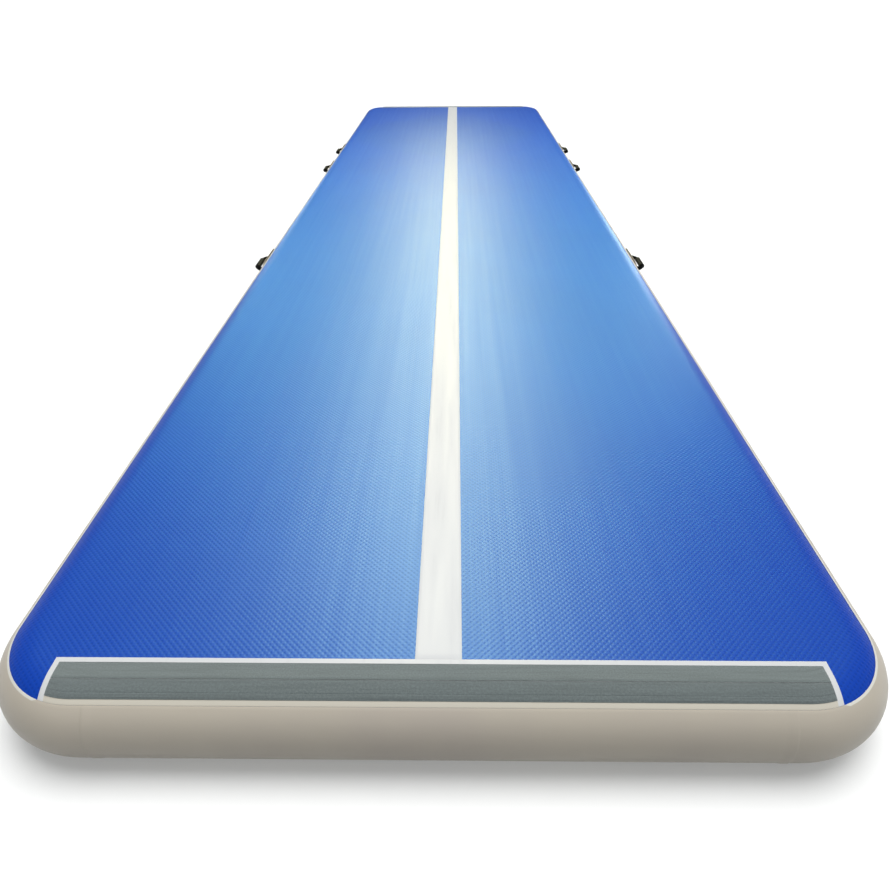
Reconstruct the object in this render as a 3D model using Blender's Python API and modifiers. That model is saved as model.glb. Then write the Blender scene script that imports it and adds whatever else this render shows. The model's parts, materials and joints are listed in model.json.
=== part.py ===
"""Air track tumbling mat: an inflatable drop-stitch mat with taped side walls, a hook-and-loop
joining band at each end, carry handles along both sides and an inflation valve in the rear wall.

Metres, +Z up. The origin is on the floor under the middle of the mat. +Y runs along the mat,
from the front end to the rear end, where the valve is. Each layer of the skin is the space between
two inflated bodies of slightly different radius, so neighbouring layers follow each other exactly.
"""

import math

import bmesh
import bpy
from mathutils import Matrix, Vector

# Driving dimensions of the inflated mat.
LENGTH = 8.0
WIDTH = 2.0
THICKNESS = 0.2
CORNER_RADIUS = 0.25
FIT_GAP = 0.0003

# Thickness of each layer of the skin, which lie FIT_GAP apart.
SHEET_THICKNESS = 0.0009
OUTER_WALL_THICKNESS = 0.0009
INNER_WALL_THICKNESS = 0.0010
FABRIC_THICKNESS = 0.0010
STRIPE_THICKNESS = 0.0005
BORDER_THICKNESS = 0.0007
TAPE_THICKNESS = 0.0020
PATCH_THICKNESS = 0.0010

# Radius of each layer, measured from the mat's middle plane and from the bulge's centre line.
BULGE = THICKNESS / 2
SHEET_IN = BULGE - SHEET_THICKNESS
INNER_WALL_OUT = SHEET_IN - FIT_GAP
INNER_WALL_IN = INNER_WALL_OUT - INNER_WALL_THICKNESS
FABRIC_OUT = INNER_WALL_IN - FIT_GAP
FABRIC_IN = FABRIC_OUT - FABRIC_THICKNESS
SKIN_ADDITION = BULGE + FIT_GAP
OUTER_WALL_OUT = SKIN_ADDITION + OUTER_WALL_THICKNESS
BORDER_OUT = SKIN_ADDITION + BORDER_THICKNESS
TAPE_IN = BORDER_OUT + FIT_GAP
TAPE_OUT = TAPE_IN + TAPE_THICKNESS
PATCH_IN = OUTER_WALL_OUT + FIT_GAP
PATCH_OUT = PATCH_IN + PATCH_THICKNESS

# The flat middle ends where the half-round bulge begins.
FLAT_HALF_WIDTH = WIDTH / 2 - BULGE
FLAT_HALF_LENGTH = LENGTH / 2 - BULGE
FLAT_CORNER_RADIUS = CORNER_RADIUS - BULGE
MIDDLE = THICKNESS / 2
BULGE_SEGMENTS = 12
CORNER_SEGMENTS = 6

# Angles above the horizontal, at the bulge's centre line, where a layer ends on the shoulder.
SHEET_EDGE_ANGLE = math.radians(50)
WALL_EDGE_ANGLE = math.radians(56.5)
TAPE_EDGE_ANGLE = math.radians(62.8)

WALL_SEAM_X = 0.71
INNER_WALL_FLANGE = 0.04
STRIPE_WIDTH = 0.1
YARN_ROW_COUNT = 17
YARN_ROW_SPACING = 0.1
YARN_ROW_THICKNESS = 0.0005

# The joining band: distances back from the mat's own end.
BORDER_HALF_WIDTH = 0.82
TAPE_HALF_WIDTH = 0.807
BORDER_BACK = 0.150
TAPE_BACK = 0.137
TAPE_JOINT = 0.0965
SEAM_GAP = 0.001

# Carry handles. Out is measured from the hinge axis, which lies just off the wall.
HANDLE_POSITIONS = {"front": 0.3625, "middle": 0.6525, "rear": 0.7425}
HINGE_OFF_WALL = 0.0075
GRIP_REACH = 0.0475
STRAP_RADIUS = 0.005
LEG_BEND_RADIUS = 0.016
LEG_ANGLE = math.radians(65)
LEG_BEND_STEPS = 4
GRIP_HALF_LENGTH = 0.055
GRIP_RADIUS = 0.014
GRIP_EDGE = 0.004
HINGE_STUB = 0.008
STRAP_END_LENGTH = 0.026
STRAP_END_HALF_HEIGHT = 0.016
STRAP_END_THICKNESS = 0.0025
BOSS_LENGTH = 0.010
PATCH_HALF_LENGTH = 0.15
PATCH_HALF_HEIGHT = 0.05
PATCH_END_RADIUS = 0.049
PATCH_END_STEPS = 5

# Inflation valve. Heights are measured outward from the wall's outermost line.
VALVE_X = 0.5
VALVE_DEPTH = 0.06
VALVE_PATCH_RADIUS = 0.075
VALVE_BORE = 0.019
VALVE_SHELL = 0.023
VALVE_HOLE = 0.0245
VALVE_NECK = 0.024
VALVE_FLANGE = 0.032
FLANGE_BOTTOM = 0.0036
FLANGE_TOP = 0.0071
NECK_TOP = 0.019
SHELL_BOTTOM = -0.028
SEAT_LIP = 0.0155
SEAT_THICKNESS = 0.003
WASHER_BOTTOM = -0.0125
NUT_THICKNESS = 0.008
NUT_NOTCH_COUNT = 4
NUT_NOTCH_RADIUS = 0.005
HUB_RADIUS = 0.0055
HUB_BOTTOM = -0.021
HUB_TOP = -0.013
SPIDER_ARMS = 3
SPIDER_ARM_WIDTH = 0.003
SPIDER_ARM_INSET = 0.001
PIN_RADIUS = 0.0025
PIN_BORE = 0.0026
PIN_BOTTOM = -0.0372
PIN_HEAD_BOTTOM = -0.001
PIN_HEAD_TOP = 0.002
PIN_HEAD_RADIUS = 0.0055
PIN_BAR_HALF_LENGTH = 0.0045
PIN_BAR_HALF_WIDTH = 0.001
PIN_BAR_HEIGHT = 0.0016
DIAPHRAGM_RADIUS = 0.0175
DIAPHRAGM_THICKNESS = 0.0025
CLIP_RADIUS = 0.008
CLIP_THICKNESS = 0.0025
SPRING_WIRE = 0.0005
SPRING_RADIUS = 0.0041
SPRING_TURNS = 5
SPRING_STEPS_PER_TURN = 12
SEAL_THICKNESS = 0.0015
SEAL_INNER = 0.0190
SEAL_OUTER = 0.0235
CAP_SKIRT = 0.0186
CAP_SKIRT_INNER = 0.0158
CAP_SKIRT_DEPTH = 0.008
CAP_NECK = 0.0235
CAP_RIM = 0.0265
CAP_GROOVE_HEIGHT = 0.0026
CAP_PLATE = 0.0026
CAP_BAR_HEIGHT = 0.008
CAP_BAR_HALF_LENGTH = 0.018
CAP_BAR_HALF_WIDTH = 0.003
CAP_BAR_BEVEL = 0.0015
CAP_CHAMFER = 0.001
CAP_RECESS = 0.001
TETHER_THICKNESS = 0.002
TETHER_OUTER = 0.029
TETHER_REACH = 0.042
TETHER_HALF_WIDTH = 0.005
TETHER_LAP = 0.003
TETHER_FOLD_STEPS = 8

ROUND_STEPS = 32
SMALL_STEPS = 24
FAR = 10.0
JOIN = 0.001
WELD = 0.00002
PATCH_DEPTH = 0.05
BULGE_ROD_REACH = 0.3

COLOURS = {
    "blue_pvc": ((0.03, 0.12, 0.52), 0.38, 0.0),
    "grey_pvc": ((0.56, 0.54, 0.48), 0.5, 0.0),
    "underside_pvc": ((0.50, 0.50, 0.47), 0.55, 0.0),
    "white_pvc": ((0.88, 0.88, 0.84), 0.45, 0.0),
    "woven_core": ((0.75, 0.75, 0.72), 0.8, 0.0),
    "hook_tape": ((0.20, 0.23, 0.23), 0.9, 0.0),
    "loop_tape": ((0.24, 0.27, 0.27), 0.95, 0.0),
    "black_webbing": ((0.015, 0.015, 0.015), 0.85, 0.0),
    "black_rubber": ((0.02, 0.02, 0.022), 0.6, 0.0),
    "valve_plastic": ((0.06, 0.06, 0.065), 0.4, 0.0),
    "spring_steel": ((0.6, 0.6, 0.6), 0.3, 1.0),
}

PARTS = "air_track_mat"
CUTTERS = "cutters"


def clear_scene():
    for obj in list(bpy.data.objects):
        bpy.data.objects.remove(obj, do_unlink=True)


def new_collection(name):
    collection = bpy.data.collections.new(name)
    bpy.context.scene.collection.children.link(collection)
    return collection


def material(name):
    """The named material, made the first time it is asked for."""
    found = bpy.data.materials.get(name)
    if found:
        return found
    colour, roughness, metallic = COLOURS[name]
    made = bpy.data.materials.new(name)
    made.use_nodes = True
    shader = made.node_tree.nodes["Principled BSDF"]
    shader.inputs["Base Color"].default_value = (*colour, 1)
    shader.inputs["Roughness"].default_value = roughness
    shader.inputs["Metallic"].default_value = metallic
    return made


def place(name, data, collection, slot=None):
    """An object for this mesh or curve: a part when it has a material, else a cutter."""
    obj = bpy.data.objects.new(name, data)
    bpy.data.collections[collection].objects.link(obj)
    if collection == CUTTERS:
        obj.hide_render = True
        obj.display_type = "WIRE"
    if slot:
        data.materials.clear()
        data.materials.append(material(slot))
    return obj


def part(name, data, slot):
    return place(name, data, PARTS, slot)


def cutter(name, data):
    return place(name, data, CUTTERS)


def mesh_of(obj):
    """The object's evaluated shape as a welded mesh in world space."""
    bpy.context.view_layer.update()
    graph = bpy.context.evaluated_depsgraph_get()
    mesh = bpy.data.meshes.new_from_object(obj.evaluated_get(graph))
    mesh.transform(obj.matrix_world)
    welded = bmesh.new()
    welded.from_mesh(mesh)
    bmesh.ops.remove_doubles(welded, verts=welded.verts, dist=WELD)
    bmesh.ops.recalc_face_normals(welded, faces=welded.faces)
    welded.to_mesh(mesh)
    welded.free()
    return mesh


def finished_mesh(obj):
    """The evaluated mesh of a helper object, which is then removed."""
    mesh = mesh_of(obj)
    bpy.data.objects.remove(obj, do_unlink=True)
    return mesh


def boolean(obj, other, operation):
    modifier = obj.modifiers.new(operation.lower(), "BOOLEAN")
    modifier.operation = operation
    modifier.solver = "EXACT"
    modifier.object = other


def box_mesh(name, low, high):
    low, high = Vector(low), Vector(high)
    mesh = bpy.data.meshes.new(name)
    cube = bmesh.new()
    size = Matrix.Diagonal((*(high - low), 1))
    bmesh.ops.create_cube(cube, size=1, matrix=Matrix.Translation((low + high) / 2) @ size)
    cube.to_mesh(mesh)
    cube.free()
    return mesh


def rod_mesh(name, radius, start, end, segments=SMALL_STEPS):
    """A cylinder from start to end, with one of its edges facing out from the wall."""
    start, end = Vector(start), Vector(end)
    along = end - start
    turn = along.to_track_quat("Z", "X").to_matrix().to_4x4()
    mesh = bpy.data.meshes.new(name)
    rod = bmesh.new()
    bmesh.ops.create_cone(
        rod,
        cap_ends=True,
        segments=segments,
        radius1=radius,
        radius2=radius,
        depth=along.length,
        matrix=Matrix.Translation((start + end) / 2) @ turn,
    )
    rod.to_mesh(mesh)
    rod.free()
    return mesh


def poly_curve(name, points, closed, dimensions="3D"):
    curve = bpy.data.curves.new(name, "CURVE")
    curve.dimensions = dimensions
    spline = curve.splines.new("POLY")
    spline.points.add(len(points) - 1)
    for spot, point in zip(spline.points, points):
        spot.co = (*point, 1) if len(point) == 3 else (*point, 0, 1)
    spline.use_cyclic_u = closed
    return curve


def rounded_rectangle(half_x, half_y, radius, steps):
    """Corner points of a rounded rectangle, anticlockwise."""
    points = []
    for quarter, (sx, sy) in enumerate(((1, 1), (-1, 1), (-1, -1), (1, -1))):
        for step in range(steps + 1):
            angle = math.radians(90) * (quarter + step / steps)
            x = sx * (half_x - radius) + radius * math.cos(angle)
            y = sy * (half_y - radius) + radius * math.sin(angle)
            points.append((x, y))
    return points


def flat_plate_mesh(name, points, low, high):
    """A flat outline made solid between two heights."""
    curve = poly_curve(name, points, True, "2D")
    curve.fill_mode = "BOTH"
    curve.extrude = (high - low) / 2
    obj = cutter(name, curve)
    obj.location.z = (low + high) / 2
    return finished_mesh(obj)


def mat_outline(inset=0.0):
    """Outline of the mat's flat middle, drawn in by the inset."""
    return rounded_rectangle(
        FLAT_HALF_WIDTH - inset,
        FLAT_HALF_LENGTH - inset,
        FLAT_CORNER_RADIUS - inset,
        CORNER_SEGMENTS,
    )


def inflated_mesh(radius):
    """The whole mat at one layer: two flat faces joined by a half-round edge of this radius."""
    curve = poly_curve("inflated", mat_outline(), True, "2D")
    curve.fill_mode = "BOTH"
    curve.bevel_depth = radius
    curve.bevel_resolution = BULGE_SEGMENTS // 2 - 1
    obj = cutter("inflated", curve)
    obj.location.z = MIDDLE
    return finished_mesh(obj)


def inflated_cutter(radius):
    """The inflated body of this radius, kept for every layer that it bounds."""
    name = f"inflated_{radius * 1e4:.0f}"
    return bpy.data.objects.get(name) or cutter(name, inflated_mesh(radius))


def layer(name, slot, inner, outer, low, high):
    """A piece of skin: the layer between two radii, inside a box."""
    obj = part(name, inflated_mesh(outer), slot)
    boolean(obj, inflated_cutter(inner), "DIFFERENCE")
    boolean(obj, cutter(f"{name}_limits", box_mesh(name, low, high)), "INTERSECT")
    return obj


def shoulder_height(radius, angle):
    return MIDDLE + radius * math.sin(angle)


def build_core():
    """Two woven base fabrics joined by rows of drop-stitch yarn."""
    fabric = flat_plate_mesh(
        "drop_stitch_core", mat_outline(), MIDDLE + FABRIC_IN, MIDDLE + FABRIC_OUT
    )
    core = part("drop_stitch_core", fabric, "woven_core")
    lower = flat_plate_mesh(
        "lower_fabric", mat_outline(), MIDDLE - FABRIC_OUT, MIDDLE - FABRIC_IN
    )
    boolean(core, cutter("lower_fabric", lower), "UNION")
    bite = FABRIC_THICKNESS / 2
    half_row = FLAT_HALF_LENGTH - FLAT_CORNER_RADIUS
    for row in range(YARN_ROW_COUNT):
        x = (row - (YARN_ROW_COUNT - 1) / 2) * YARN_ROW_SPACING
        low = (x - YARN_ROW_THICKNESS / 2, -half_row, MIDDLE - FABRIC_IN - bite)
        high = (x + YARN_ROW_THICKNESS / 2, half_row, MIDDLE + FABRIC_IN + bite)
        boolean(core, cutter(f"yarn_row_{row}", box_mesh("yarn_row", low, high)), "UNION")


def build_sheets():
    """The embossed top sheet and the underside sheet, each curling over the bulge's shoulder."""
    edge = shoulder_height(BULGE, SHEET_EDGE_ANGLE)
    layer("top_sheet", "blue_pvc", SHEET_IN, BULGE, (-FAR, -FAR, edge), (FAR, FAR, FAR))
    lower_edge = THICKNESS - edge
    layer(
        "bottom_sheet", "underside_pvc", SHEET_IN, BULGE, (-FAR, -FAR, -FAR), (FAR, FAR, lower_edge)
    )


def build_centre_stripe():
    half_length = LENGTH / 2 - BORDER_BACK - SEAM_GAP
    low = (-STRIPE_WIDTH / 2, -half_length, THICKNESS + FIT_GAP)
    high = (STRIPE_WIDTH / 2, half_length, THICKNESS + FIT_GAP + STRIPE_THICKNESS)
    part("centre_stripe", box_mesh("centre_stripe", low, high), "white_pvc")


def valve_hole_cutter():
    mesh = rod_mesh(
        "valve_hole",
        VALVE_HOLE,
        (VALVE_X, FLAT_HALF_LENGTH, MIDDLE),
        (VALVE_X, LENGTH / 2 + BULGE, MIDDLE),
        ROUND_STEPS,
    )
    return cutter("valve_hole", mesh)


def build_walls(valve_hole):
    """The inner wall tape all the way round, and the four outer wall panels over it."""
    inner = part("inner_wall_tape", inflated_mesh(INNER_WALL_OUT), "grey_pvc")
    boolean(inner, inflated_cutter(INNER_WALL_IN), "DIFFERENCE")
    middle = flat_plate_mesh("wall_opening", mat_outline(INNER_WALL_FLANGE), -FAR, FAR)
    boolean(inner, cutter("wall_opening", middle), "DIFFERENCE")
    boolean(inner, valve_hole, "DIFFERENCE")

    top = shoulder_height(OUTER_WALL_OUT, WALL_EDGE_ANGLE)
    low_z, high_z = THICKNESS - top, top
    side = WALL_SEAM_X + SEAM_GAP
    limits = {
        "front": ((-WALL_SEAM_X, -FAR), (WALL_SEAM_X, 0)),
        "rear": ((-WALL_SEAM_X, 0), (WALL_SEAM_X, FAR)),
        "left": ((-FAR, -FAR), (-side, FAR)),
        "right": ((side, -FAR), (FAR, FAR)),
    }
    for where, (low, high) in limits.items():
        panel = layer(
            f"outer_wall_{where}",
            "grey_pvc",
            SKIN_ADDITION,
            OUTER_WALL_OUT,
            (*low, low_z),
            (*high, high_z),
        )
        if where == "rear":
            boolean(panel, valve_hole, "DIFFERENCE")


def build_joining_band(end, toward):
    """White backing strip with a loop tape and a hook tape on it, over the mat's end shoulder."""
    border_low = shoulder_height(OUTER_WALL_OUT, WALL_EDGE_ANGLE) + FIT_GAP
    tape_low = shoulder_height(TAPE_OUT, TAPE_EDGE_ANGLE)
    strips = {
        "backing": ("white_pvc", SKIN_ADDITION, BORDER_OUT, BORDER_HALF_WIDTH, BORDER_BACK, -BULGE),
        "loop_tape": (
            "loop_tape",
            TAPE_IN,
            TAPE_OUT,
            TAPE_HALF_WIDTH,
            TAPE_BACK,
            TAPE_JOINT + SEAM_GAP / 2,
        ),
        "hook_tape": (
            "hook_tape",
            TAPE_IN,
            TAPE_OUT,
            TAPE_HALF_WIDTH,
            TAPE_JOINT - SEAM_GAP / 2,
            -BULGE,
        ),
    }
    for strip, (slot, inner, outer, half_width, back, front) in strips.items():
        ends = sorted((toward * (LENGTH / 2 - back), toward * (LENGTH / 2 - front)))
        floor = border_low if strip == "backing" else tape_low
        layer(
            f"{end}_band_{strip}",
            slot,
            inner,
            outer,
            (-half_width, ends[0], floor),
            (half_width, ends[1], FAR),
        )


def strap_leg():
    """One leg of the strap as (out, along) points, from the hinge stub to the grip."""
    bend = LEG_BEND_RADIUS
    rise = GRIP_REACH - 2 * bend * (1 - math.cos(LEG_ANGLE))
    straight = rise / math.sin(LEG_ANGLE)
    run = 2 * bend * math.sin(LEG_ANGLE) + straight * math.cos(LEG_ANGLE)
    top = GRIP_HALF_LENGTH + GRIP_EDGE
    foot = top + run
    points = [(0.0, foot + HINGE_STUB)]
    for step in range(LEG_BEND_STEPS + 1):
        angle = LEG_ANGLE * step / LEG_BEND_STEPS
        points.append((bend * (1 - math.cos(angle)), foot - bend * math.sin(angle)))
    for step in range(LEG_BEND_STEPS, -1, -1):
        angle = LEG_ANGLE * step / LEG_BEND_STEPS
        points.append((GRIP_REACH - bend * (1 - math.cos(angle)), top + bend * math.sin(angle)))
    return points


def strap_mesh():
    """The free loop of the carry strap: two legs and the run inside the grip."""
    leg = strap_leg()
    points = [(out, along, 0.0) for out, along in leg]
    points += [(out, -along, 0.0) for out, along in reversed(leg)]
    curve = poly_curve("strap", points, False)
    curve.bevel_depth = STRAP_RADIUS
    curve.bevel_resolution = 2
    curve.use_fill_caps = True
    return finished_mesh(cutter("strap", curve))


def turned_mesh(name, profile, steps=ROUND_STEPS):
    """A solid turned about Z from (radius, height) points that run down the outer side.

    The profile is closed when it starts and ends off the axis."""
    closed = profile[0][0] > 0
    outline = bmesh.new()
    spots = [outline.verts.new((radius, 0, height)) for radius, height in profile]
    for first, second in zip(spots, spots[1:]):
        outline.edges.new((first, second))
    if closed:
        outline.edges.new((spots[-1], spots[0]))
    mesh = bpy.data.meshes.new(name)
    outline.to_mesh(mesh)
    outline.free()
    obj = cutter(name, mesh)
    screw = obj.modifiers.new("turn", "SCREW")
    screw.axis = "Z"
    screw.steps = screw.render_steps = steps
    screw.use_merge_vertices = True
    screw.merge_threshold = WELD
    return finished_mesh(obj)


def ring_mesh(name, inner, outer, low, high, steps=ROUND_STEPS):
    return turned_mesh(name, [(outer, high), (outer, low), (inner, low), (inner, high)], steps)


def grip_mesh():
    """A rubber sleeve with rounded ends round the middle of the strap, along Y."""
    bore = STRAP_RADIUS + FIT_GAP
    half = GRIP_HALF_LENGTH
    profile = [(bore, half), (GRIP_RADIUS - GRIP_EDGE, half)]
    profile += [(GRIP_RADIUS, half - GRIP_EDGE), (GRIP_RADIUS, GRIP_EDGE - half)]
    profile += [(GRIP_RADIUS - GRIP_EDGE, -half), (bore, -half)]
    mesh = turned_mesh("grip", profile, 20)
    along_y = Matrix.Rotation(math.radians(-90), 4, "X")
    mesh.transform(Matrix.Translation((GRIP_REACH, 0, 0)) @ along_y)
    return mesh


def wall_rod(name, radius):
    """The wall's bulge beside a handle, as a rod of this radius along Y."""
    centre = -(OUTER_WALL_OUT + HINGE_OFF_WALL)
    start, end = (centre, -BULGE_ROD_REACH, 0), (centre, BULGE_ROD_REACH, 0)
    return cutter(name, rod_mesh(name, radius, start, end, 2 * BULGE_SEGMENTS))


def patch_mesh():
    """The patch on the wall, with both sewn-down strap ends and the bosses that the loop meets."""
    outline = rounded_rectangle(
        PATCH_HALF_HEIGHT, PATCH_HALF_LENGTH, PATCH_END_RADIUS, PATCH_END_STEPS
    )
    prism = flat_plate_mesh("patch_outline", outline, -PATCH_DEPTH, PATCH_DEPTH)
    prism.transform(Matrix.Rotation(math.radians(90), 4, "Y"))
    patch = wall_rod("patch", PATCH_OUT)
    boolean(patch, cutter("patch_outline", prism), "INTERSECT")

    stub_end = strap_leg()[0][1] + FIT_GAP
    for side in (-1, 1):
        ends = sorted((side * stub_end, side * (stub_end + STRAP_END_LENGTH)))
        low = (-PATCH_DEPTH, ends[0], -STRAP_END_HALF_HEIGHT)
        high = (PATCH_DEPTH, ends[1], STRAP_END_HALF_HEIGHT)
        pad = wall_rod(f"strap_end_{side}", PATCH_OUT + STRAP_END_THICKNESS)
        boolean(pad, cutter("strap_end_limits", box_mesh("limits", low, high)), "INTERSECT")
        boolean(patch, pad, "UNION")
    boolean(patch, wall_rod("patch_underside", PATCH_IN), "DIFFERENCE")
    for side in (-1, 1):
        start, end = side * stub_end, side * (stub_end + BOSS_LENGTH)
        boss = rod_mesh("boss", STRAP_RADIUS, (0, start, 0), (0, end, 0), 12)
        boolean(patch, cutter("boss", boss), "UNION")
    return mesh_of(patch)


def build_handles():
    """Three carry handles on each side: patch, strap loop and grip, placed on the hinge axis."""
    shapes = {
        "patch": (patch_mesh(), "grey_pvc"),
        "strap": (strap_mesh(), "black_webbing"),
        "grip": (grip_mesh(), "black_rubber"),
    }
    out = FLAT_HALF_WIDTH + OUTER_WALL_OUT + HINGE_OFF_WALL
    for side, sign in (("left", -1), ("right", 1)):
        for where, fraction in HANDLE_POSITIONS.items():
            name = f"handle_{side}_{where}"
            hinge = bpy.data.objects.new(f"{name}_hinge", None)
            bpy.data.collections[PARTS].objects.link(hinge)
            hinge.location = (sign * out, (fraction - 0.5) * LENGTH, MIDDLE)
            hinge.rotation_euler.z = 0 if sign > 0 else math.pi
            for piece, (mesh, slot) in shapes.items():
                part(f"{name}_{piece}", mesh, slot).parent = hinge


def valve_bulge_rod(name, radius):
    """The rear wall's bulge behind the valve, as a rod of this radius along X."""
    start = (-BULGE_ROD_REACH, 0, -OUTER_WALL_OUT)
    end = (BULGE_ROD_REACH, 0, -OUTER_WALL_OUT)
    return cutter(name, rod_mesh(name, radius, start, end, 2 * BULGE_SEGMENTS))


def valve_patch_mesh():
    """A round reinforcement patch on the wall, with the valve's hole through it."""
    patch = valve_bulge_rod("valve_patch_blank", PATCH_OUT)
    ring = ring_mesh("valve_patch_ring", VALVE_HOLE, VALVE_PATCH_RADIUS, -VALVE_DEPTH, VALVE_DEPTH)
    boolean(patch, cutter("valve_patch_ring", ring), "INTERSECT")
    boolean(patch, valve_bulge_rod("valve_patch_inside", PATCH_IN), "DIFFERENCE")
    return mesh_of(patch)


def gasket_mesh():
    """A rubber gasket, flat under the flange and shaped to the bulging wall beneath."""
    high = FLANGE_BOTTOM - FIT_GAP
    ring = cutter("gasket", ring_mesh("gasket", VALVE_HOLE, VALVE_FLANGE, -VALVE_DEPTH, high))
    boolean(ring, valve_bulge_rod("gasket_seat", PATCH_OUT + FIT_GAP), "DIFFERENCE")
    return mesh_of(ring)


def washer_mesh():
    """The backing washer inside the mat: shaped to the wall outside, flat for the nut inside."""
    blank = ring_mesh("washer", VALVE_HOLE, VALVE_FLANGE, WASHER_BOTTOM, VALVE_DEPTH)
    ring = cutter("washer", blank)
    boolean(ring, valve_bulge_rod("washer_seat", INNER_WALL_IN - FIT_GAP), "INTERSECT")
    return mesh_of(ring)


def nut_mesh():
    """The back nut, with four finger notches round its edge."""
    high = WASHER_BOTTOM - FIT_GAP
    low = high - NUT_THICKNESS
    bore = VALVE_SHELL + FIT_GAP
    nut = cutter("nut", ring_mesh("nut", bore, VALVE_FLANGE, low, high))
    for notch_number in range(NUT_NOTCH_COUNT):
        angle = math.tau * (notch_number + 0.5) / NUT_NOTCH_COUNT
        x, y = VALVE_FLANGE * math.cos(angle), VALVE_FLANGE * math.sin(angle)
        notch = rod_mesh("notch", NUT_NOTCH_RADIUS, (x, y, low - JOIN), (x, y, high + JOIN), 10)
        boolean(nut, cutter("notch", notch), "DIFFERENCE")
    return mesh_of(nut)


def valve_body_mesh():
    """The valve's shell, flange and neck, with the seat lip and the spider that guides the pin."""
    seat_top = SHELL_BOTTOM + SEAT_THICKNESS
    profile = [(VALVE_NECK, NECK_TOP), (VALVE_NECK, FLANGE_TOP), (VALVE_FLANGE, FLANGE_TOP)]
    profile += [(VALVE_FLANGE, FLANGE_BOTTOM), (VALVE_SHELL, FLANGE_BOTTOM)]
    profile += [(VALVE_SHELL, SHELL_BOTTOM), (SEAT_LIP, SHELL_BOTTOM), (SEAT_LIP, seat_top)]
    profile += [(VALVE_BORE, seat_top), (VALVE_BORE, NECK_TOP)]
    body = cutter("valve_shell", turned_mesh("valve_shell", profile))
    reach = (VALVE_BORE + VALVE_SHELL) / 2
    spokes = cutter("hub", rod_mesh("hub", HUB_RADIUS, (0, 0, HUB_BOTTOM), (0, 0, HUB_TOP)))
    for arm in range(SPIDER_ARMS):
        low = (0, -SPIDER_ARM_WIDTH / 2, HUB_BOTTOM + SPIDER_ARM_INSET)
        high = (reach, SPIDER_ARM_WIDTH / 2, HUB_TOP - SPIDER_ARM_INSET)
        bar = box_mesh("spider_arm", low, high)
        bar.transform(Matrix.Rotation(math.tau * arm / SPIDER_ARMS, 4, "Z"))
        boolean(spokes, cutter("spider_arm", bar), "UNION")
    bore = rod_mesh("pin_bore", PIN_BORE, (0, 0, -VALVE_DEPTH), (0, 0, VALVE_DEPTH))
    boolean(spokes, cutter("pin_bore", bore), "DIFFERENCE")
    boolean(body, cutter("spider", mesh_of(spokes)), "UNION")
    return mesh_of(body)


def pin_mesh():
    """The push pin: a shaft with a round head, and a bar across it that shows how it is turned."""
    profile = [(0, PIN_HEAD_TOP), (PIN_HEAD_RADIUS, PIN_HEAD_TOP)]
    profile += [(PIN_HEAD_RADIUS, PIN_HEAD_BOTTOM), (PIN_RADIUS, PIN_HEAD_BOTTOM)]
    profile += [(PIN_RADIUS, PIN_BOTTOM), (0, PIN_BOTTOM)]
    pin = cutter("pin", turned_mesh("pin", profile, SMALL_STEPS))
    low = (-PIN_BAR_HALF_LENGTH, -PIN_BAR_HALF_WIDTH, PIN_HEAD_TOP - JOIN)
    high = (PIN_BAR_HALF_LENGTH, PIN_BAR_HALF_WIDTH, PIN_HEAD_TOP + PIN_BAR_HEIGHT)
    bar = box_mesh("pin_bar", low, high)
    boolean(pin, cutter("pin_bar", bar), "UNION")
    return mesh_of(pin)


def spring_mesh():
    """The return spring round the pin, between the spider's hub and the pin's head."""
    low = HUB_TOP + SPRING_WIRE + FIT_GAP
    high = PIN_HEAD_BOTTOM - SPRING_WIRE - FIT_GAP
    steps = SPRING_TURNS * SPRING_STEPS_PER_TURN
    points = []
    for step in range(steps + 1):
        angle = math.tau * step / SPRING_STEPS_PER_TURN
        height = low + (high - low) * step / steps
        points.append((SPRING_RADIUS * math.cos(angle), SPRING_RADIUS * math.sin(angle), height))
    curve = poly_curve("spring", points, False)
    curve.bevel_depth = SPRING_WIRE
    curve.bevel_resolution = 1
    curve.use_fill_caps = True
    return finished_mesh(cutter("spring", curve))


def cap_heights():
    """Underside of the cap's plate, top of the tether's groove and top of the plate."""
    bottom = NECK_TOP + FIT_GAP + SEAL_THICKNESS + FIT_GAP
    return bottom, bottom + CAP_GROOVE_HEIGHT, bottom + CAP_GROOVE_HEIGHT + CAP_PLATE


def cap_mesh():
    """The cap: a skirt that plugs the neck, a groove for the tether and a finger bar."""
    bottom, groove_top, top = cap_heights()
    skirt_end = bottom - CAP_SKIRT_DEPTH
    profile = [(0, top), (CAP_RIM - CAP_CHAMFER, top), (CAP_RIM, top - CAP_CHAMFER)]
    profile += [(CAP_RIM, groove_top), (CAP_NECK, groove_top), (CAP_NECK, bottom)]
    profile += [(CAP_SKIRT, bottom), (CAP_SKIRT, skirt_end), (CAP_SKIRT_INNER, skirt_end)]
    profile += [(CAP_SKIRT_INNER, bottom + CAP_RECESS), (0, bottom + CAP_RECESS)]
    cap = cutter("cap", turned_mesh("cap", profile))
    low = (-CAP_BAR_HALF_LENGTH, -CAP_BAR_HALF_WIDTH, top - JOIN)
    high = (CAP_BAR_HALF_LENGTH, CAP_BAR_HALF_WIDTH, top + CAP_BAR_HEIGHT)
    bar = cutter("cap_bar", box_mesh("cap_bar", low, high))
    edges = bar.modifiers.new("edges", "BEVEL")
    edges.width = CAP_BAR_BEVEL
    edges.segments = 2
    boolean(cap, bar, "UNION")
    return mesh_of(cap)


def mesh_of_ribbon(curve):
    """A ribbon drawn flat in X and Y, stood up so that its Y becomes height."""
    obj = cutter("ribbon", curve)
    obj.rotation_euler.x = math.radians(90)
    return finished_mesh(obj)


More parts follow.
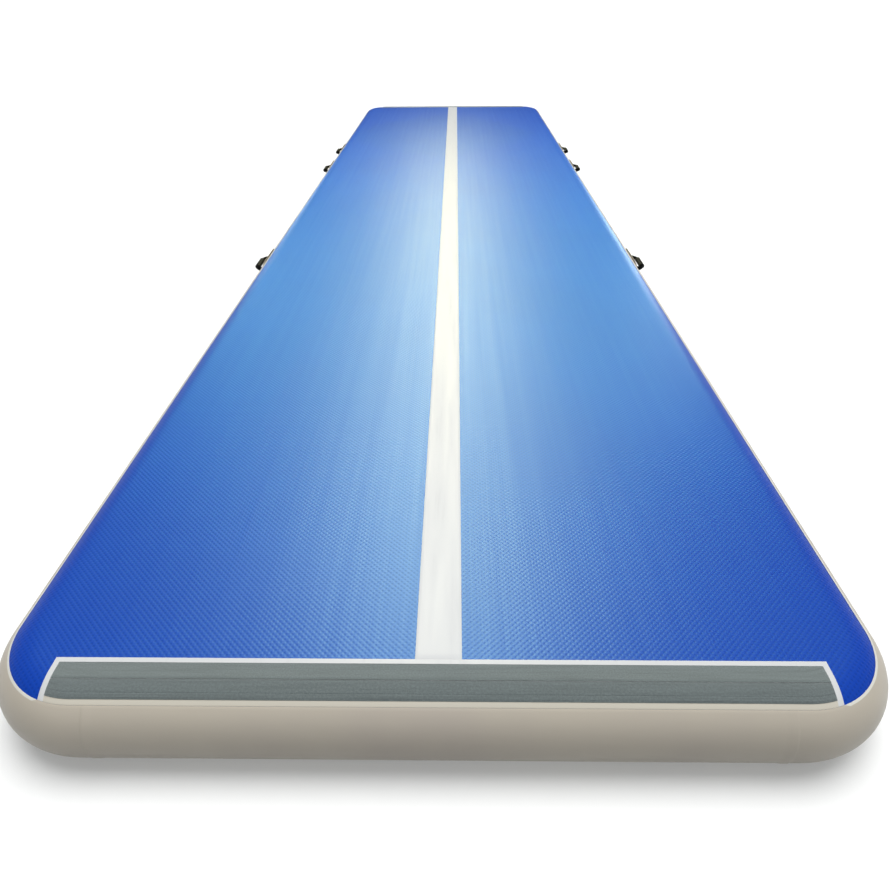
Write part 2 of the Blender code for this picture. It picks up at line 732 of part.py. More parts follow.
def tether_mesh():
    """A ring round the valve's neck and a ring in the cap's groove, joined by a folded strap."""
    bottom, groove_top, _ = cap_heights()
    lower = FLANGE_TOP + FIT_GAP
    upper = groove_top - FIT_GAP - TETHER_THICKNESS
    neck = VALVE_NECK + FIT_GAP
    groove = CAP_NECK + FIT_GAP
    first = ring_mesh("neck_ring", neck, TETHER_OUTER, lower, lower + TETHER_THICKNESS)
    second = ring_mesh("cap_ring", groove, TETHER_OUTER, upper, upper + TETHER_THICKNESS)
    fold = (upper - lower) / 2
    start = TETHER_OUTER - TETHER_LAP
    points = [(start, lower)]
    for step in range(TETHER_FOLD_STEPS + 1):
        angle = math.radians(-90 + 180 * step / TETHER_FOLD_STEPS)
        out = TETHER_REACH + fold * math.cos(angle)
        points.append((out, lower + fold + fold * math.sin(angle)))
    points.append((start, upper))
    ribbon = poly_curve("tether_strap", points, False, "2D")
    ribbon.fill_mode = "NONE"
    ribbon.extrude = TETHER_HALF_WIDTH
    strap = cutter("tether_strap", mesh_of_ribbon(ribbon))
    thickness = strap.modifiers.new("thickness", "SOLIDIFY")
    thickness.thickness = TETHER_THICKNESS
    thickness.offset = -1
    tether = cutter("tether", first)
    boolean(tether, strap, "UNION")
    boolean(tether, cutter("cap_ring", second), "UNION")
    return mesh_of(tether)


def build_valve():
    """The inflation valve, each piece parented to an empty on the valve's axis."""
    axis = bpy.data.objects.new("valve_axis", None)
    bpy.data.collections[PARTS].objects.link(axis)
    axis.location = (VALVE_X, FLAT_HALF_LENGTH + OUTER_WALL_OUT, MIDDLE)
    axis.rotation_euler.x = math.radians(-90)
    diaphragm_top = SHELL_BOTTOM - FIT_GAP
    diaphragm_bottom = diaphragm_top - DIAPHRAGM_THICKNESS
    clip_top = diaphragm_bottom - FIT_GAP
    pin_clearance = PIN_RADIUS + FIT_GAP
    seal_bottom = NECK_TOP + FIT_GAP
    pieces = {
        "valve_patch": (valve_patch_mesh(), "grey_pvc"),
        "valve_gasket": (gasket_mesh(), "black_rubber"),
        "valve_body": (valve_body_mesh(), "valve_plastic"),
        "valve_backing_washer": (washer_mesh(), "black_rubber"),
        "valve_back_nut": (nut_mesh(), "valve_plastic"),
        "valve_push_pin": (pin_mesh(), "valve_plastic"),
        "valve_diaphragm": (
            ring_mesh("d", pin_clearance, DIAPHRAGM_RADIUS, diaphragm_bottom, diaphragm_top),
            "black_rubber",
        ),
        "valve_pin_clip": (
            ring_mesh("c", pin_clearance, CLIP_RADIUS, clip_top - CLIP_THICKNESS, clip_top, 16),
            "valve_plastic",
        ),
        "valve_spring": (spring_mesh(), "spring_steel"),
        "valve_cap_seal": (
            ring_mesh("s", SEAL_INNER, SEAL_OUTER, seal_bottom, seal_bottom + SEAL_THICKNESS),
            "black_rubber",
        ),
        "valve_cap": (cap_mesh(), "valve_plastic"),
        "valve_cap_tether": (tether_mesh(), "black_rubber"),
    }
    for name, (mesh, slot) in pieces.items():
        part(name, mesh, slot).parent = axis


def main():
    clear_scene()
    new_collection(PARTS)
    new_collection(CUTTERS)
    build_core()
    build_sheets()
    build_centre_stripe()
    build_walls(valve_hole_cutter())
    build_joining_band("front", -1)
    build_joining_band("rear", 1)
    build_handles()
    build_valve()


main()
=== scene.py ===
"""The looks of the air track mat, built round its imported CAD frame.

The skin, tapes, handles and valve are rebuilt as finer meshes, each in the space of its CAD node.
Metres, in the part's own frame: +X across the mat, +Y toward the end with the valve, +Z up.
"""

import json
import math

import bmesh
import bpy
import numpy as np
from mathutils import Matrix, Vector


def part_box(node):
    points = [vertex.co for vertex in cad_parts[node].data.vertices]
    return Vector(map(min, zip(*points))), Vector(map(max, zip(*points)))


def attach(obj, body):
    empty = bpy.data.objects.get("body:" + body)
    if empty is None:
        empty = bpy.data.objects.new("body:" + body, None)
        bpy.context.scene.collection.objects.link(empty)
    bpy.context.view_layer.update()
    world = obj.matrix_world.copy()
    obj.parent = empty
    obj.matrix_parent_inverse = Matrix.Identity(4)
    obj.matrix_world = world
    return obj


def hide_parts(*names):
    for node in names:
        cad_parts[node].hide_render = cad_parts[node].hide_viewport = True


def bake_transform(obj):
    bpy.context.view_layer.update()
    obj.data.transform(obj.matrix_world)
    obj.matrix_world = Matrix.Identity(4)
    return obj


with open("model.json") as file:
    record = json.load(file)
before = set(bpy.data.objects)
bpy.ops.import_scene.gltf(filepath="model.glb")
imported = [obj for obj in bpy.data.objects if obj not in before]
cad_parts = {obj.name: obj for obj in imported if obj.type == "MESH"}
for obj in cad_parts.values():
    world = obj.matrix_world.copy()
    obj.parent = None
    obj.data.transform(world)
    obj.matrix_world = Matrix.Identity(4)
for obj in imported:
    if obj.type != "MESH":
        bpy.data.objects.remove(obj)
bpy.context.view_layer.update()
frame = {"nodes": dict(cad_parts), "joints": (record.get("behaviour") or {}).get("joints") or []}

JOINTS = {joint["name"]: joint for joint in frame["joints"]}
NODE_NAMES = sorted(frame["nodes"])
MATERIALS = {}
QUARTER = math.radians(90)

# The mat's flat middle and the half-round bulge round it, read from the CAD layers.
FLAT_X, FLAT_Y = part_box("drop_stitch_core")[1].xy
FLAT_CORNER = 0.15
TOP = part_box("top_sheet")[1].z
MIDDLE = TOP / 2
SHEET_OUT = MIDDLE
SHEET_THICKNESS = 0.0009
WALL_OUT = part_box("outer_wall_right")[1].x - FLAT_X
WALL_THICKNESS = 0.0009
STRAIGHT_X = FLAT_X - FLAT_CORNER
STRAIGHT_Y = FLAT_Y - FLAT_CORNER


def edge_angle(height, radius):
    """Angle above the horizontal at which a layer of this radius reaches a height."""
    return math.asin((height - MIDDLE) / radius)


SHEET_EDGE = edge_angle(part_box("top_sheet")[0].z, SHEET_OUT)
WALL_EDGE = edge_angle(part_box("outer_wall_right")[1].z, WALL_OUT)
WALL_ARC = WALL_OUT * WALL_EDGE

# Where the front band's backing ends along the wall's edge.
BAND_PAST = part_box("front_band_backing")[1].x - STRAIGHT_X
BAND_END_Y = STRAIGHT_Y + math.sqrt(
    (FLAT_CORNER + WALL_OUT * math.cos(WALL_EDGE)) ** 2 - BAND_PAST**2
)

# Half a tape's length, and how far down the mat's end from the flat top the hook tape reaches.
TAPE_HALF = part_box("front_band_hook_tape")[1].x
TAPE_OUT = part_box("front_band_hook_tape")[1].z - MIDDLE
TAPE_EDGE = edge_angle(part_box("front_band_hook_tape")[0].z, TAPE_OUT)
TAPE_REACH = TAPE_OUT * (QUARTER - TAPE_EDGE) - 0.0015

EMBOSS_PITCH = 0.0145


# ---------------------------------------------------------------------------------- materials


def linear(red, green, blue):
    """Linear colour for an 8-bit screen colour."""
    shares = [value / 255 for value in (red, green, blue)]
    return [s / 12.92 if s <= 0.04045 else ((s + 0.055) / 1.055) ** 2.4 for s in shares]


def opaque(red, green, blue):
    return (*linear(red, green, blue), 1)


class Tree:
    """A material's nodes, made by short calls that give back output sockets."""

    def __init__(self, name, colour, roughness, metallic=0.0, specular=0.5):
        self.material = bpy.data.materials.new(name)
        self.material.use_nodes = True
        self.nodes = self.material.node_tree.nodes
        self.links = self.material.node_tree.links
        self.shader = self.nodes["Principled BSDF"]
        self.colour = (*colour, 1)
        self.set("Base Color", self.colour)
        self.set("Roughness", roughness)
        self.set("Metallic", metallic)
        self.set("Specular IOR Level", specular)

    def set(self, socket, value):
        self.join(self.shader.inputs[socket], value)

    def join(self, socket, value):
        if isinstance(value, bpy.types.NodeSocket):
            self.links.new(value, socket)
        else:
            socket.default_value = value

    def uv(self):
        return self.nodes.new("ShaderNodeTexCoord").outputs["UV"]

    def place(self):
        return self.nodes.new("ShaderNodeTexCoord").outputs["Object"]

    def maths(self, operation, *values):
        node = self.nodes.new("ShaderNodeMath")
        node.operation = operation
        for socket, value in zip(node.inputs, values):
            self.join(socket, value)
        return node.outputs[0]

    def scaled(self, vector, x, y, z=1.0):
        node = self.nodes.new("ShaderNodeMapping")
        self.join(node.inputs["Vector"], vector)
        node.inputs["Scale"].default_value = (x, y, z)
        return node.outputs[0]

    def axes(self, vector):
        node = self.nodes.new("ShaderNodeSeparateXYZ")
        self.join(node.inputs[0], vector)
        return node.outputs

    def noise(self, vector, scale, detail=2.0, roughness=0.5):
        node = self.nodes.new("ShaderNodeTexNoise")
        self.join(node.inputs["Vector"], vector)
        node.inputs["Scale"].default_value = scale
        node.inputs["Detail"].default_value = detail
        node.inputs["Roughness"].default_value = roughness
        return node.outputs[0]

    def cells(self, vector, scale, randomness=1.0):
        node = self.nodes.new("ShaderNodeTexVoronoi")
        self.join(node.inputs["Vector"], vector)
        node.inputs["Scale"].default_value = scale
        node.inputs["Randomness"].default_value = randomness
        return node.outputs["Distance"]

    def fit(self, value, low, high, to_low=0.0, to_high=1.0):
        """The value's place between low and high, eased at both ends and carried to a new range."""
        node = self.nodes.new("ShaderNodeMapRange")
        node.interpolation_type = "SMOOTHSTEP"
        for socket, number in zip(node.inputs, (value, low, high, to_low, to_high)):
            self.join(socket, number)
        return node.outputs[0]

    def mix(self, share, first, second):
        node = self.nodes.new("ShaderNodeMix")
        node.data_type = "RGBA"
        self.join(node.inputs["Factor"], share)
        self.join(node.inputs[6], first)
        self.join(node.inputs[7], second)
        return node.outputs[2]

    def shade(self, share, factor):
        """The tree's colour, darkened or lightened by factor where share is 1."""
        other = (*(min(1, channel * factor) for channel in self.colour[:3]), 1)
        return self.mix(share, self.colour, other)

    def bump(self, height, depth, under=None):
        """A normal from a height of 0 to 1 that stands for this depth in metres."""
        node = self.nodes.new("ShaderNodeBump")
        node.inputs["Distance"].default_value = depth
        self.join(node.inputs["Height"], height)
        if under:
            self.join(node.inputs["Normal"], under)
        return node.outputs[0]

    def waves(self, axis, pitch):
        """A cosine along one axis, from -1 to 1, of this pitch in metres."""
        return self.maths("COSINE", self.maths("MULTIPLY", axis, math.tau / pitch))


def blue_pvc():
    """Coated fabric embossed with a staggered lattice of small pits between diagonal ridges, with painted
    shade in the pits.
    """
    tree = Tree("blue_pvc", linear(5, 57, 168), 0.48, specular=0.375)
    flat = tree.uv()
    across, along, _ = tree.axes(flat)
    crossed = tree.maths(
        "MULTIPLY", tree.waves(across, EMBOSS_PITCH), tree.waves(along, EMBOSS_PITCH)
    )
    pits = tree.fit(crossed, -1.0, 0.05)
    ridges = tree.fit(crossed, -0.2, 0.7)
    streaks = tree.noise(tree.scaled(flat, 42, 0.55), 1.0, 3.0, 0.6)
    grain = tree.noise(flat, 900, 2.0)
    broad = tree.noise(flat, 1.7, 3.0)

    depth = tree.maths("MULTIPLY_ADD", pits, 0.75, tree.maths("MULTIPLY", ridges, 0.25))
    normal = tree.bump(streaks, 0.00035)
    normal = tree.bump(depth, 0.00037, normal)
    tree.set("Normal", tree.bump(grain, 0.00004, normal))
    tree.set("Specular Tint", (0.53, 1.0, 0.95, 1))

    # Painted shade: the colour is darkened in the pits of the emboss.
    pit_shade = tree.maths("SUBTRACT", 1.0, pits)
    worn = tree.fit(broad, 0.35, 0.7, 0.0, 0.25)
    colour = tree.shade(tree.maths("POWER", pit_shade, 1.5), 0.78)
    tree.set("Base Color", tree.mix(worn, colour, opaque(9, 69, 177)))
    tree.set("Roughness", tree.fit(streaks, 0.3, 0.7, 0.46, 0.50))
    return tree.material


def wall_pvc(name, edge_highlight):
    """Warm grey coated fabric: the weave shows through faintly, and a painted highlight runs along the
    panel's edges.
    """
    tree = Tree(name, linear(192, 183, 168), 0.45, specular=0.3)
    flat = tree.uv()
    _, around, _ = tree.axes(flat)
    weave = tree.noise(tree.scaled(flat, 700, 700), 1.0, 1.0)
    broad = tree.noise(flat, 2.3, 3.0, 0.55)
    soft = tree.noise(tree.scaled(flat, 4.0, 14.0), 1.0, 2.0)
    normal = tree.bump(soft, 0.0009)
    tree.set("Normal", tree.bump(weave, 0.00003, normal))
    from_middle = tree.maths("ABSOLUTE", around)
    # Painted highlight: a pale line along the wall's top and bottom edges, left off at the ends under the
    # bands.
    edge = tree.fit(from_middle, WALL_ARC - 0.0064, WALL_ARC - 0.0048, 0.0, edge_highlight)
    along = tree.maths("ABSOLUTE", tree.axes(tree.place())["Y"])
    edge = tree.maths("MULTIPLY", edge, tree.fit(along, BAND_END_Y, BAND_END_Y - 0.001))
    # Darker pinkish blotches: partly stains, partly painted reflections of the surroundings.
    stain_and_reflection = tree.fit(broad, 0.35, 0.75, 0.0, 0.55)
    blotched = tree.mix(stain_and_reflection, tree.colour, opaque(178, 168, 160))
    tree.set("Base Color", tree.mix(edge, blotched, opaque(228, 228, 220)))
    tree.set("Roughness", tree.fit(broad, 0.3, 0.7, 0.38, 0.5))
    return tree.material


def white_pvc(name, grey_from=None):
    """Smooth white coated fabric with a faint weave and light scuffs.

    grey_from is the length down the mat's end from which the fabric is dyed as the wall is."""
    tree = Tree(name, linear(210, 211, 211), 0.45, specular=0.08)
    flat = tree.uv()
    weave = tree.noise(flat, 900, 1.0)
    scuffs = tree.noise(tree.scaled(flat, 30, 2.0), 1.0, 4.0, 0.7)
    normal = tree.bump(scuffs, 0.0004)
    tree.set("Normal", tree.bump(weave, 0.00003, normal))
    scuffed = tree.shade(tree.fit(scuffs, 0.52, 0.8, 0.0, 0.5), 0.86)
    if grey_from:
        across, down, _ = tree.axes(flat)
        grey = tree.fit(down, grey_from, grey_from + 0.0004)
        inside = tree.fit(tree.maths("ABSOLUTE", across), TAPE_HALF, TAPE_HALF - 0.0004)
        grey = tree.maths("MULTIPLY", grey, inside)
        scuffed = tree.mix(grey, scuffed, opaque(204, 198, 184))
    tree.set("Base Color", scuffed)
    tree.set("Roughness", tree.fit(scuffs, 0.3, 0.7, 0.38, 0.5))
    return tree.material


def underside_pvc():
    """The underside's coated fabric, with a fine raised grid that stops it from slipping."""
    tree = Tree("underside_pvc", linear(176, 176, 170), 0.55, specular=0.4)
    flat = tree.uv()
    across, along, _ = tree.axes(flat)
    grid = tree.maths("MAXIMUM", tree.waves(across, 0.006), tree.waves(along, 0.006))
    dirt = tree.noise(flat, 3.0, 5.0, 0.65)
    tree.set("Normal", tree.bump(tree.fit(grid, 0.2, 0.9), 0.0003))
    tree.set("Base Color", tree.shade(tree.fit(dirt, 0.4, 0.75, 0.0, 0.8), 0.72))
    return tree.material


def pile_tape(name, colour, scale, depth):
    """Hook-and-loop tape: a dense pile between smooth woven edges, matted here and there."""
    tree = Tree(name, colour, 0.92, specular=0.25)
    flat = tree.uv()
    pile = tree.cells(flat, scale)
    tufts = tree.noise(flat, scale / 3, 3.0, 0.7)
    matted = tree.noise(tree.scaled(flat, 5, 160), 1.0, 3.0, 0.6)
    normal = tree.bump(tufts, depth)
    tree.set("Normal", tree.bump(pile, depth / 2, normal))
    mottled = tree.shade(tree.fit(tufts, 0.35, 0.7), 1.32)
    dark = (*(channel * 0.66 for channel in colour), 1)
    tree.set("Base Color", tree.mix(tree.fit(matted, 0.4, 0.75, 0.0, 0.4), mottled, dark))
    tree.set("Sheen Weight", 0.35)
    tree.set("Sheen Roughness", 0.6)
    return tree.material


def webbing():
    """Black woven webbing: a herringbone of warp threads with ribbed edges."""
    tree = Tree("black_webbing", linear(9, 9, 10), 0.85, specular=0.08)
    along, across, _ = tree.axes(tree.uv())
    column = tree.maths("PINGPONG", across, 0.004)
    slanted = tree.maths("ADD", along, column)
    rows = tree.waves(slanted, 0.0018)
    cords = tree.waves(across, 0.0013)
    weave = tree.maths("MULTIPLY", rows, cords)
    tree.set("Normal", tree.bump(weave, 0.0002))
    tree.set("Base Color", tree.shade(tree.fit(weave, -0.4, 0.9), 2.2))
    return tree.material


def thread(name, colour):
    """Twisted sewing thread."""
    tree = Tree(name, colour, 0.6, specular=0.4)
    twist = tree.noise(tree.place(), 1800, 1.0)
    tree.set("Normal", tree.bump(twist, 0.00006))
    tree.set("Base Color", tree.shade(tree.fit(twist, 0.4, 0.6), 1.5))
    return tree.material


def grained(name, colour, roughness, scale, depth, specular=0.5, wear=1.6):
    """A moulded or coated surface with a fine grain, rubbed lighter here and there."""
    tree = Tree(name, colour, roughness, specular=specular)
    spot = tree.place()
    grain = tree.cells(spot, scale)
    rubbed = tree.noise(spot, scale / 30, 4.0, 0.65)
    tree.set("Normal", tree.bump(grain, depth))
    tree.set("Base Color", tree.shade(tree.fit(rubbed, 0.5, 0.75, 0.0, 0.7), wear))
    tree.set("Roughness", tree.fit(rubbed, 0.35, 0.7, roughness - 0.05, roughness + 0.1))
    return tree.material


def woven_core():
    """Undyed woven fabric and yarn."""
    tree = Tree("woven_core", linear(226, 224, 214), 0.85, specular=0.3)
    across, along, upward = tree.axes(tree.place())
    plain = tree.maths("MULTIPLY", tree.waves(across, 0.0024), tree.waves(along, 0.0024))
    yarn = tree.maths("MULTIPLY", plain, tree.fit(tree.waves(upward, 0.4), -1.0, 0.0))
    tree.set("Normal", tree.bump(yarn, 0.0003))
    tree.set("Base Color", tree.shade(tree.fit(plain, -0.6, 0.6), 0.84))
    return tree.material


def steel():
    """Drawn spring wire with fine marks along it."""
    tree = Tree("spring_steel", linear(196, 196, 194), 0.28, metallic=1.0)
    marks = tree.noise(tree.scaled(tree.place(), 2600, 300, 2600), 1.0, 2.0)
    tree.set("Normal", tree.bump(marks, 0.00002))
    tree.set("Roughness", tree.fit(marks, 0.3, 0.7, 0.2, 0.38))
    return tree.material


def make_materials():
    """One material for each kind of surface, under the name that pieces ask for."""
    MATERIALS.update(
        blue_pvc=blue_pvc(),
        # grey_pvc carries the painted edge highlight; plain_grey_pvc has none.
        grey_pvc=wall_pvc("grey_pvc", 0.75),
        plain_grey_pvc=wall_pvc("plain_grey_pvc", 0.0),
        white_pvc=white_pvc("white_pvc"),
        band_pvc=white_pvc("band_pvc", TAPE_REACH),
        underside_pvc=underside_pvc(),
        loop_tape=pile_tape("loop_tape", linear(105, 114, 113), 900, 0.0006),
        hook_tape=pile_tape("hook_tape", linear(95, 104, 104), 620, 0.0008),
        tape_thread=thread("tape_thread", linear(104, 114, 114)),
        black_thread=thread("black_thread", linear(44, 44, 46)),
        black_webbing=webbing(),
        black_rubber=grained("black_rubber", linear(12, 12, 13), 0.65, 900, 0.0001, 0.12),
        valve_plastic=grained("valve_plastic", linear(34, 34, 36), 0.36, 1600, 0.00003),
        woven_core=woven_core(),
        spring_steel=steel(),
    )


# ---------------------------------------------------------------------------------- mesh tools


def eased(value):
    """A value from 0 to 1, eased at both ends."""
    value = np.clip(value, 0, 1)
    return value * value * (3 - 2 * value)


def tangents(points):
    step = np.gradient(points, axis=0)
    return step / np.linalg.norm(step, axis=1, keepdims=True)


def lengths_along(points):
    """Length of a line of points up to each of them."""
    steps = np.linalg.norm(np.diff(points, axis=0), axis=1)
    return np.concatenate([[0], np.cumsum(steps)])


def rotated(directions, matrix):
    return np.asarray(directions) @ np.array(matrix)[:3, :3].T


def placed(points, matrix):
    return rotated(points, matrix) + np.array(matrix)[:3, 3]


class Patch:
    """A grid of points with the outward normal and the flat pattern's place of each."""

    def __init__(self, points, normals, flat):
        self.points = np.asarray(points, float)
        self.normals = np.asarray(normals, float)
        self.flat = np.asarray(flat, float)

    def raised(self, height):
        """The same grid moved out along its normals by a height for each point."""
        moved = self.points + self.normals * np.asarray(height)[..., None]
        return Patch(moved, self.normals, self.flat)


def grid_quads(patch, first):
    """Corner numbers of the grid's faces, in the order that turns them along its normals."""
    rows, columns = patch.points.shape[:2]
    index = first + np.arange(rows * columns).reshape(rows, columns)
    corners = [index[:-1, :-1], index[1:, :-1], index[1:, 1:], index[:-1, 1:]]
    quads = np.stack(corners, -1).reshape(-1, 4)
    row, column = rows // 2 - 1, columns // 2 - 1
    here = patch.points[row, column]
    down = patch.points[row + 1, column] - here
    right = patch.points[row, column + 1] - here
    if np.dot(np.cross(down, right), patch.normals[row, column]) < 0:
        quads = quads[:, ::-1]
    return quads


def mesh_from(name, points, faces, flat):
    mesh = bpy.data.meshes.new(name)
    mesh.from_pydata(np.asarray(points).tolist(), [], faces)
    layer = mesh.uv_layers.new(name="flat")
    corner = np.empty(len(mesh.loops), np.int32)
    mesh.loops.foreach_get("vertex_index", corner)
    layer.data.foreach_set("uv", np.asarray(flat, np.float32)[corner].ravel())
    return mesh


def mesh_of(name, shape):
    """A mesh of what a bmesh holds. The bmesh is used up."""
    mesh = bpy.data.meshes.new(name)
    shape.to_mesh(mesh)
    shape.free()
    return mesh


def clean(mesh, weld=True, outward=True):
    """Joins points that coincide, and turns all faces outward."""
    shape = bmesh.new()
    shape.from_mesh(mesh)
    if weld:
        bmesh.ops.remove_doubles(shape, verts=shape.verts, dist=1e-6)
        bmesh.ops.dissolve_degenerate(shape, edges=shape.edges, dist=1e-7)
    if outward:
        bmesh.ops.recalc_face_normals(shape, faces=shape.faces)
    shape.to_mesh(mesh)
    shape.free()
    return mesh


def patches_mesh(name, patches):
    """One mesh from grids that meet along their borders."""
    points, faces, flat, count = [], [], [], 0
    for patch in patches:
        faces.append(grid_quads(patch, count))
        points.append(patch.points.reshape(-1, 3))
        flat.append(patch.flat.reshape(-1, 2))
        count += len(points[-1])
    quads = np.concatenate(faces).tolist()
    mesh = mesh_from(name, np.concatenate(points), quads, np.concatenate(flat))
    return clean(mesh, outward=False) if len(patches) > 1 else mesh


def add_object(name, data):
    thing = bpy.data.objects.new(name, data)
    bpy.context.scene.collection.objects.link(thing)
    return thing


def new_piece(name, mesh, material):
    mesh.materials.clear()
    for each in [material] if isinstance(material, str) else material:
        mesh.materials.append(MATERIALS[each])
    return add_object(name, mesh)


def evaluated_mesh(thing):
    """The mesh of an object with its modifiers applied, or of a curve."""
    bpy.context.view_layer.update()
    graph = bpy.context.evaluated_depsgraph_get()
    return bpy.data.meshes.new_from_object(thing.evaluated_get(graph))


def settle(piece, sharp_degrees=38):
    """Applies the piece's modifiers and shades it smooth up to its sharp edges."""
    mesh = evaluated_mesh(piece)
    piece.modifiers.clear()
    piece.data = mesh
    mesh.shade_smooth()
    mesh.set_sharp_from_angle(angle=math.radians(sharp_degrees))
    return piece


def round_edges(piece, width, segments=2, degrees=50):
    modifier = piece.modifiers.new("edges", "BEVEL")
    modifier.width = width
    modifier.segments = segments
    modifier.limit_method = "ANGLE"
    modifier.angle_limit = math.radians(degrees)
    modifier.use_clamp_overlap = True


def skin_piece(name, patches, thickness, material, edge=0.0, cut=None):
    """A closed sheet whose outer face is these grids."""
    piece = new_piece(name, patches_mesh(name, patches), material)
    solid = piece.modifiers.new("thickness", "SOLIDIFY")
    solid.thickness = thickness
    solid.offset = -1
    solid.use_even_offset = True
    if edge:
        round_edges(piece, edge)
    if cut:
        hole = piece.modifiers.new("hole", "BOOLEAN")
        hole.operation = "DIFFERENCE"
        hole.object = cut
    return settle(piece)


def finish_piece(piece, body, slot, *nodes):
    """Says what the piece rides on and the CAD nodes it stands for; its material slot is not used."""
    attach(piece, body)
    return named_piece(piece, slot, *nodes)


def named_piece(piece, slot, *nodes):
    if nodes:
        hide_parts(*nodes)
    return piece


def turned(profile, steps, ridge=None):
    """Points and faces of a closed profile of (radius, height) turned about Z.

    ridge gives a change of radius for each (angle, radius, height)."""
    profile = np.asarray(profile, float)
    angles = np.linspace(0, math.tau, steps, endpoint=False)
    points = []
    for angle in angles:
        for radius, height in profile:
            out = radius + (ridge(angle, radius, height) if ridge else 0)
            points.append((out * math.cos(angle), out * math.sin(angle), height))
    count = len(profile)
    faces = []
    for step in range(steps):
        here, there = step * count, (step + 1) % steps * count
        for spot in range(count):
            after = (spot + 1) % count
            faces.append((here + spot, there + spot, there + after, here + after))
    return points, faces


def turned_mesh(name, profile, steps=64, ridge=None):
    """A turned solid. A profile whose ends lie on the axis is closed along it."""
    points, faces = turned(profile, steps, ridge)
    return clean(mesh_from(name, points, faces, np.zeros((len(points), 2))))


def tube_faces(rings, count):
    """Faces of a tube of so many rings of points, with a flat cap on each end."""
    faces = []
    for start in range(0, (rings - 1) * count, count):
        for spot in range(count):
            after = (spot + 1) % count
            faces.append((start + spot, start + after, start + count + after, start + count + spot))
    last = (rings - 1) * count
    return [*faces, tuple(reversed(range(count))), tuple(range(last, last + count))]


def joined_mesh(name, meshes):
    """One mesh from several, each a closed body of its own."""
    whole = bmesh.new()
    for mesh in meshes:
        whole.from_mesh(mesh)
    return mesh_of(name, whole)


def box_mesh(name, low, high, bevel=0.0):
    low, high = Vector(low), Vector(high)
    cube = bmesh.new()
    size = Matrix.Diagonal((*(high - low), 1))
    bmesh.ops.create_cube(cube, size=1, matrix=Matrix.Translation((low + high) / 2) @ size)
    if bevel:
        bmesh.ops.bevel(cube, geom=cube.edges, offset=bevel, segments=3, affect="EDGES", profile=0.5)
    return mesh_of(name, cube)


STITCH_SIDES = 5


def stitches_mesh(name, spots, alongs, normals, length, radius):
    """Short rounded stitches: each lies at its spot, along its direction, on its normal's side."""
    spots, alongs, normals = (np.asarray(each, float) for each in (spots, alongs, normals))
    sides = np.cross(normals, alongs)
    rings = [(-0.5, 0.0), (-0.36, 0.75), (0.0, 1.0), (0.36, 0.75), (0.5, 0.0)]
    points, faces = [], []
    for place, width in rings:
        turns = [0.0] if width == 0 else np.arange(STITCH_SIDES) / STITCH_SIDES * math.tau
        for turn in turns:
            across = math.cos(turn) * width * radius
            upward = math.sin(turn) * width * radius
            points.append(spots + alongs * place * length + sides * across + normals * upward)
    last = len(points) - 1
    for side in range(STITCH_SIDES):
        after = (side + 1) % STITCH_SIDES
        faces.append((0, 1 + after, 1 + side))
        for ring in range(2):
            low, high = 1 + ring * STITCH_SIDES, 1 + (ring + 1) * STITCH_SIDES
            faces.append((low + side, low + after, high + after, high + side))
        low = 1 + 2 * STITCH_SIDES
        faces.append((low + side, low + after, last))
    count = len(points)
    all_points = np.stack(points, 1).reshape(-1, 3)
    all_faces = [
        [corner + stitch * count for corner in face] for stitch in range(len(spots)) for face in faces
    ]
    mesh = bpy.data.meshes.new(name)
    mesh.from_pydata(all_points.tolist(), [], all_faces)
    mesh.shade_smooth()
    return mesh


# -------------------------------------------------------------------------------------- skin


YARN_ROW_PITCH = 0.1
YARN_ROW_DIP = 0.00010
FLAT_FADE = 0.12

# The flat faces' broad ripples: pitch across and along in metres, shift in radians, height.
RIPPLES = ((0.31, 2.3, 0, 0.00012), (0.47, -1.7, 1, 0.00014), (3.1, 0.62, 0, 0.00008))


def unevenness(points):
    """How far the inflated skin stands off its even shape, in metres.

    Soft dents all over, and on the flat faces the rows of yarn and broad low ripples."""
    x, y, z = points[..., 0], points[..., 1], points[..., 2]
    dents = np.sin(5.3 * x + 2.9 * y + 9 * z) + np.sin(7.7 * y - 4.1 * x + 2) + np.sin(17 * z + 3.1 * y)
    fade = eased(np.minimum(FLAT_X - np.abs(x), FLAT_Y - np.abs(y)) / FLAT_FADE)
    rows = np.cos(math.tau * x / YARN_ROW_PITCH) * YARN_ROW_DIP
    ripples = sum(
        np.sin(math.tau * (x / across + y / along) + shift) * height
        for across, along, shift, height in RIPPLES
    )
    return 0.00004 * (dents - 3) + fade * (rows + ripples + 0.00035)


def puffed(patch):
    return patch.raised(unevenness(patch.points))


CORNER_ROWS = 22


def outline_rows(spacing):
    """(y, half width, normal) of the flat outline's right side, from its front end to its rear."""
    rows = []
    for step in range(CORNER_ROWS):
        angle = QUARTER * (1 - step / CORNER_ROWS)
        rows.append((-STRAIGHT_Y, FLAT_CORNER, -angle))
    count = round(2 * STRAIGHT_Y / spacing)
    for step in range(count + 1):
        rows.append((-STRAIGHT_Y + 2 * STRAIGHT_Y * step / count, FLAT_CORNER, 0.0))
    for step in range(1, CORNER_ROWS + 1):
        rows.append((STRAIGHT_Y, FLAT_CORNER, QUARTER * step / CORNER_ROWS))
    y = np.array([centre + radius * math.sin(angle) for centre, radius, angle in rows])
    x = np.array([STRAIGHT_X + radius * math.cos(angle) for _, radius, angle in rows])
    normal = np.array([(math.cos(angle), math.sin(angle)) for _, _, angle in rows])
    return y, x, normal


def shoulder(border, out, radius, angles):
    """The bulge outside a stretch of the flat outline. Angles are above the horizontal."""
    angles = np.asarray(angles)[None, :, None]
    border, out = border[:, None, :], out[:, None, :]
    plan = border + out * radius * np.cos(angles)
    height = MIDDLE + radius * np.sin(angles) + 0 * plan[..., :1]
    points = np.concatenate([plan, height], -1)
    normals = np.concatenate([out * np.cos(angles), np.sin(angles) + 0 * height], -1)
    unrolled = border + out * radius * (QUARTER - angles)
    return Patch(points, normals, unrolled)


SPACING = 0.02
SHEET_COLUMNS = 90
SHOULDER_STEPS = 8


